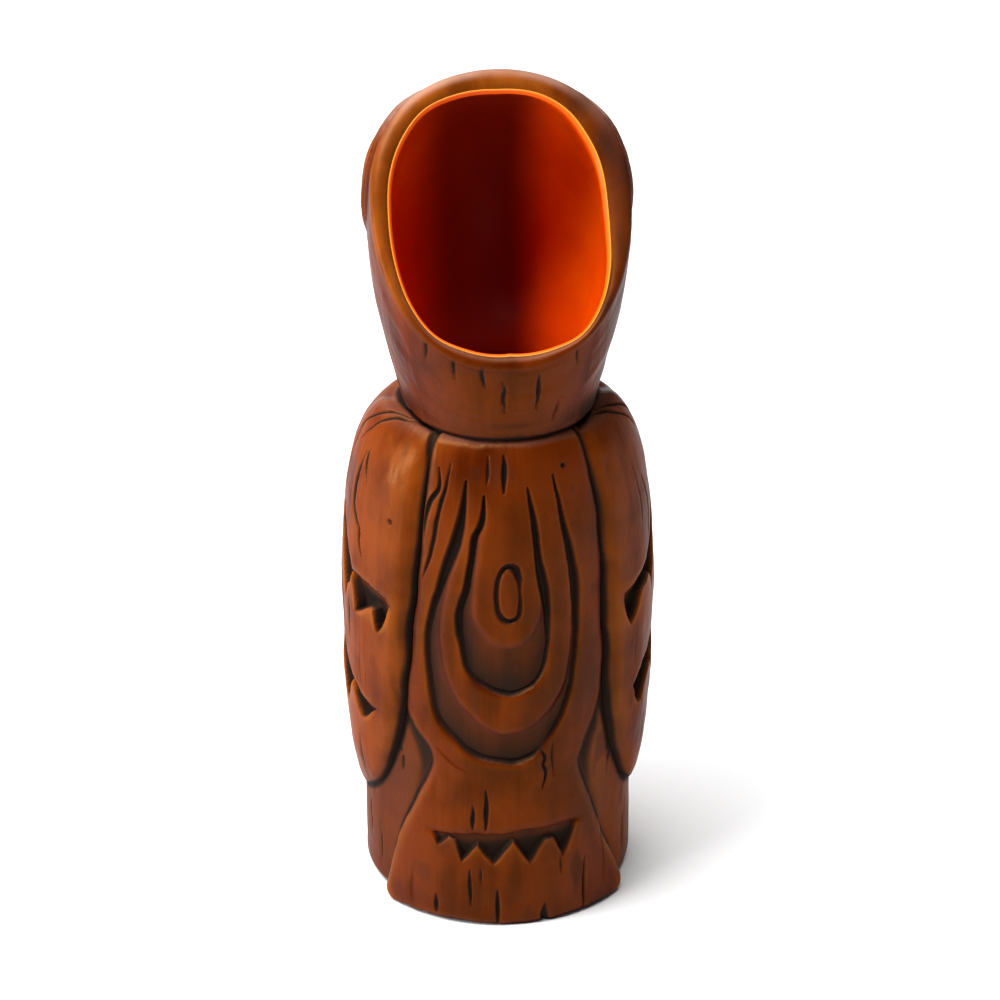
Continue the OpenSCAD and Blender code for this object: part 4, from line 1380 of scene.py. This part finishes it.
def build_bill(node, path, half_w, half_h, tip, start, outline, grooves):
    """One half of the beak. A groove is (place along, round angle, its two sizes, depth)."""
    columns, rows = ((150, 120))
    rings, turn = bill_rings(path, half_w, half_h, tip, columns, rows, start, outline)
    across = np.roll(rings, -1, 1) - np.roll(rings, 1, 1)
    out = unit(np.cross(np.gradient(rings, axis=0), across))
    flip = np.sign(((rings - rings.mean(axis=1, keepdims=True)) * out).sum(-1).mean())
    t = np.linspace(start, 1, rows)[:, None]
    degrees = np.degrees(turn)[None, :]
    cut = np.zeros(rings.shape[:2])
    for at_t, at_turn, size_t, size_turn, deep in grooves:
        for facing in (at_turn, 180 - at_turn):
            off = (degrees - facing + 180) % 360 - 180
            cut = np.maximum(cut, deep * np.exp(-((t - at_t) / size_t) ** 2 - (off / size_turn) ** 2))
    texture = 0.10 * noise(rings.shape[:2], (14, 12), 41) + 0.05 * noise(rings.shape[:2], (40, 3), 42)
    shallow = np.clip(bill_taper(t, tip) * 1.4, 0.2, 1)
    rings = rings + out * flip * ((texture - cut) * shallow)[..., None]
    front = face_front(rings[..., 0], rings[..., 2])
    rings[..., 1] = np.maximum(rings[..., 1], front)
    rings[0, :, 1] = front[0]
    # painted shade where the beak is let into the head
    root_shade = 1 - smooth(t + 0 * degrees, start + 0.1, start + 0.2)
    wash_and_shade = np.maximum(np.clip(cut / 0.9, 0, 1), 0.9 * root_shade)
    ridge = 0.75 * smooth(np.sin(turn), 0.8, 1.0)[None] * smooth(t, 0.4, 0.7)
    wear_and_sheen = np.clip(ridge + 0.35 * smooth(t, 0.85, 1), 0, 1) * (1 - wash_and_shade)
    # close the root along the face it is let into
    shrink = np.array([0.02, 0.35, 0.7])[:, None, None]
    root = rings[0].mean(axis=0) + (rings[0] - rings[0].mean(axis=0)) * shrink
    root[..., 1] = face_front(root[..., 0], root[..., 2])
    rings = np.concatenate([root, rings])
    wash_and_shade, wear_and_sheen = (np.concatenate([field[:1]] * len(root) + [field]) for field in (wash_and_shade, wear_and_sheen))
    obj = ring_object(node, rings, FACE, False, wash_and_shade, wear_and_sheen)
    if flip > 0:
        obj.data.flip_normals()
    stand_in(obj, node)


def beak_shadow(skin):
    """Painted shade on the head around the root of the beak."""
    x, y, z = np.moveaxis(skin.base, -1, 0)
    d = np.hypot(x / 12.6, (z - 170.5) / 18.5)
    return 0.9 * near(d - 1.0, 0.16) * (y > 20)


def build_beak():
    grooves = [(0.44, 24, 0.045, 11, 1.3)]
    grooves += [(0.38 + 0.05 * k, -12 - 2.2 * k, 0.05, 4.5, 0.7) for k in range(12)]
    grooves += [(0.42 + 0.06 * k, 58, 0.045, 3.5, 0.45) for k in range(5)]
    build_bill("beak_upper", UPPER_BILL, 11.5, 13.0, 0.14, 0.1, upper_outline, grooves)
    grooves = [(0.5 + 0.08 * k, -30, 0.06, 8, 0.5) for k in range(5)]
    build_bill("beak_lower", LOWER_BILL, 9.0, 7.0, 0.35, 0.36, lower_outline, grooves)


def capsule_chain(points, radii, columns=28):
    """Rings along a chain of points: a limb with knuckles."""
    p = curve(points, steps=8)
    r = curve([(x, 0) for x in radii], steps=8)[:, 0]
    ahead = np.gradient(p, axis=0)
    ahead = ahead / np.linalg.norm(ahead, axis=1, keepdims=True)
    side = np.cross(ahead, [0, 0, 1.0])
    side = side / np.linalg.norm(side, axis=1, keepdims=True)
    up = np.cross(side, ahead)
    a = (np.arange(columns) / columns * 2 * np.pi)[None, :, None]
    ring = side[:, None] * np.cos(a) + up[:, None] * np.sin(a)
    return p[:, None] + ring * r[:, None, None]


# A toe from its root to its claw: (distance from the mug's axis, height, thickness).
TOE = ((30, 4.6, 4.0), (33, 4.9, 4.1), (36, 4.6, 3.5), (38.6, 4.3, 3.5), (41, 3.5, 2.5), (42.8, 1.9, 0.9))
TOE_SPREAD = 11.5        # degrees from toe to toe
FOOT_ANGLE = 21          # degrees from the face's middle to a foot's middle


def melted(objects, name, size):
    """Joins objects into one skin, made of cells of the given size in mm."""
    bpy.ops.object.select_all(action="DESELECT")
    for obj in objects:
        obj.select_set(True)
    whole = objects[0]
    bpy.context.view_layer.objects.active = whole
    bpy.ops.object.join()
    whole.name = name
    whole.data.name = name
    remesh = whole.modifiers.new("melt", "REMESH")
    remesh.mode = "VOXEL"
    remesh.voxel_size = size * MM
    soften = whole.modifiers.new("soften", "SMOOTH")
    soften.factor = 0.5
    soften.iterations = 4
    bpy.ops.object.modifier_apply(modifier="melt")
    bpy.ops.object.modifier_apply(modifier="soften")
    return whole


def build_foot(name, side):
    """Three knuckled toes with claws, melted into one piece where they meet."""
    toward = 180 - side * FOOT_ANGLE
    toes = []
    for k in range(3):
        a = math.radians(toward + (k - 1) * TOE_SPREAD)
        way = np.array([math.sin(a), -math.cos(a), 0])
        path = [way * r + [0, 0, z] for r, z, _ in TOE]
        toes.append(ring_object(f"toe_{k}", capsule_chain(path, [thick for _, _, thick in TOE]), FACE, False))
    foot = melted(toes, name, 0.38)
    mesh = foot.data
    co = np.zeros(len(mesh.vertices) * 3, np.float32)
    mesh.vertices.foreach_get("co", co)
    points = co.reshape(-1, 3) / MM
    points[:, 2] = np.maximum(points[:, 2], 0.15)
    mesh.vertices.foreach_set("co", (points * MM).astype(np.float32).ravel())
    x, y, z = points.T
    radius = np.hypot(x, y)
    off = (np.degrees(np.arctan2(x, -y)) - toward + 180) % 360 - 180
    valley_shade = near(np.abs(off) - TOE_SPREAD / 2, 2.2) * (z < 8.5)
    knuckle = near(radius - 37.4, 0.55) + near(radius - 40.6, 0.5)
    root = 1 - smooth(radius, 34.2, 35.8)
    low = 1 - smooth(z, 0.3, 1.8)
    # painted shade between the toes, where they join the mug and along the floor, with darker bands across the
    # knuckles
    wash_and_shade = np.clip(highest(0.85 * valley_shade, 0.6 * knuckle, 0.95 * root, 0.8 * low), 0, 1)
    write_marks(mesh, wash_and_shade, smooth(z, 6.4, 8.2) * (1 - wash_and_shade))
    mesh.polygons.foreach_set("use_smooth", np.ones(len(mesh.polygons), bool))
    mesh.update()
    stand_in(foot, name)


# ---------------------------------------------------------------- floor, light and camera

def build_stage():
    bpy.context.scene.view_settings.view_transform = "Standard"
    half = 40.0
    below = -0.0002
    mesh = bpy.data.meshes.new("floor")
    corners = [(x * half, y * half, below) for x, y in ((-1, -1), (1, -1), (1, 1), (-1, 1))]
    mesh.from_pydata(corners, [], [(0, 1, 2, 3)])
    material, tree, shader = new_material("pale_floor")
    tree.put(shader["Base Color"], (0.77, 0.77, 0.77))
    tree.put(shader["Roughness"], 0.7)
    mesh.materials.append(material)
    into_scene("floor", mesh)


def area_light(name, place, target, size, power):
    data = bpy.data.lights.new(name, "AREA")
    data.shape = "RECTANGLE"
    data.size, data.size_y = size
    data.energy = power
    aim(into_scene(name, data), place, target)


def aim(obj, place, target):
    """Puts an object at a place, with its -Z axis towards the target and its Y axis up."""
    obj.location = place
    way = Vector(target) - Vector(place)
    obj.rotation_euler = way.to_track_quat("-Z", "Y").to_euler()


def build_lights():
    """A dim room: a white sweep low behind the mug and to its left, two windows and a broad ceiling light."""
    world = bpy.data.worlds.new("studio")
    bpy.context.scene.world = world
    tree = Tree(world)
    x, y, z = tree.split(tree.add("TexCoord", "Generated"))
    behind = tree.minus(y, tree.times(x, 0.6))
    sweep = tree.times(tree.ramp(behind, -0.7, 0.5), tree.ramp(z, 0.12, 0.5, 1.0, 0.0))
    background = tree.nodes["Background"].inputs
    tree.put(background["Strength"], tree.plus(tree.times(sweep, 0.28), 0.08))
    tree.put(background["Color"], (1, 1, 1))
    area_light("window", (-0.42, -0.2, 0.88), (0, 0, 0.14), (0.36, 0.36), 8)
    area_light("side", (-0.9, -0.12, 0.24), (0, 0, 0.1), (0.08, 0.16), 5.5)
    ceiling = bpy.data.lights.new("ceiling", "SUN")
    ceiling.energy = 4.9
    ceiling.angle = math.radians(65)
    aim(into_scene("ceiling", ceiling), (-0.25, 0.15, 1.2), (0, 0, 0.1))


def build_camera():
    azimuth, elevation, distance = math.radians(-5), math.radians(26), 0.85
    data = bpy.data.cameras.new("camera")
    data.sensor_width = 36
    data.lens = 123.55
    camera = into_scene("camera", data)
    back = np.array([math.sin(azimuth) * math.cos(elevation), -math.cos(azimuth) * math.cos(elevation),
                     math.sin(elevation)])
    aim(camera, np.array([0, 0, 0.105]) + back * distance, (0.0006, 0, 0.1007))
    bpy.context.scene.camera = camera


build_camera()
build_body()
build_floor()
build_cup_lining()
build_head()
build_head_lining()
build_beak()
build_foot("foot_left", -1)
build_foot("foot_right", 1)
build_stage()
build_lights()
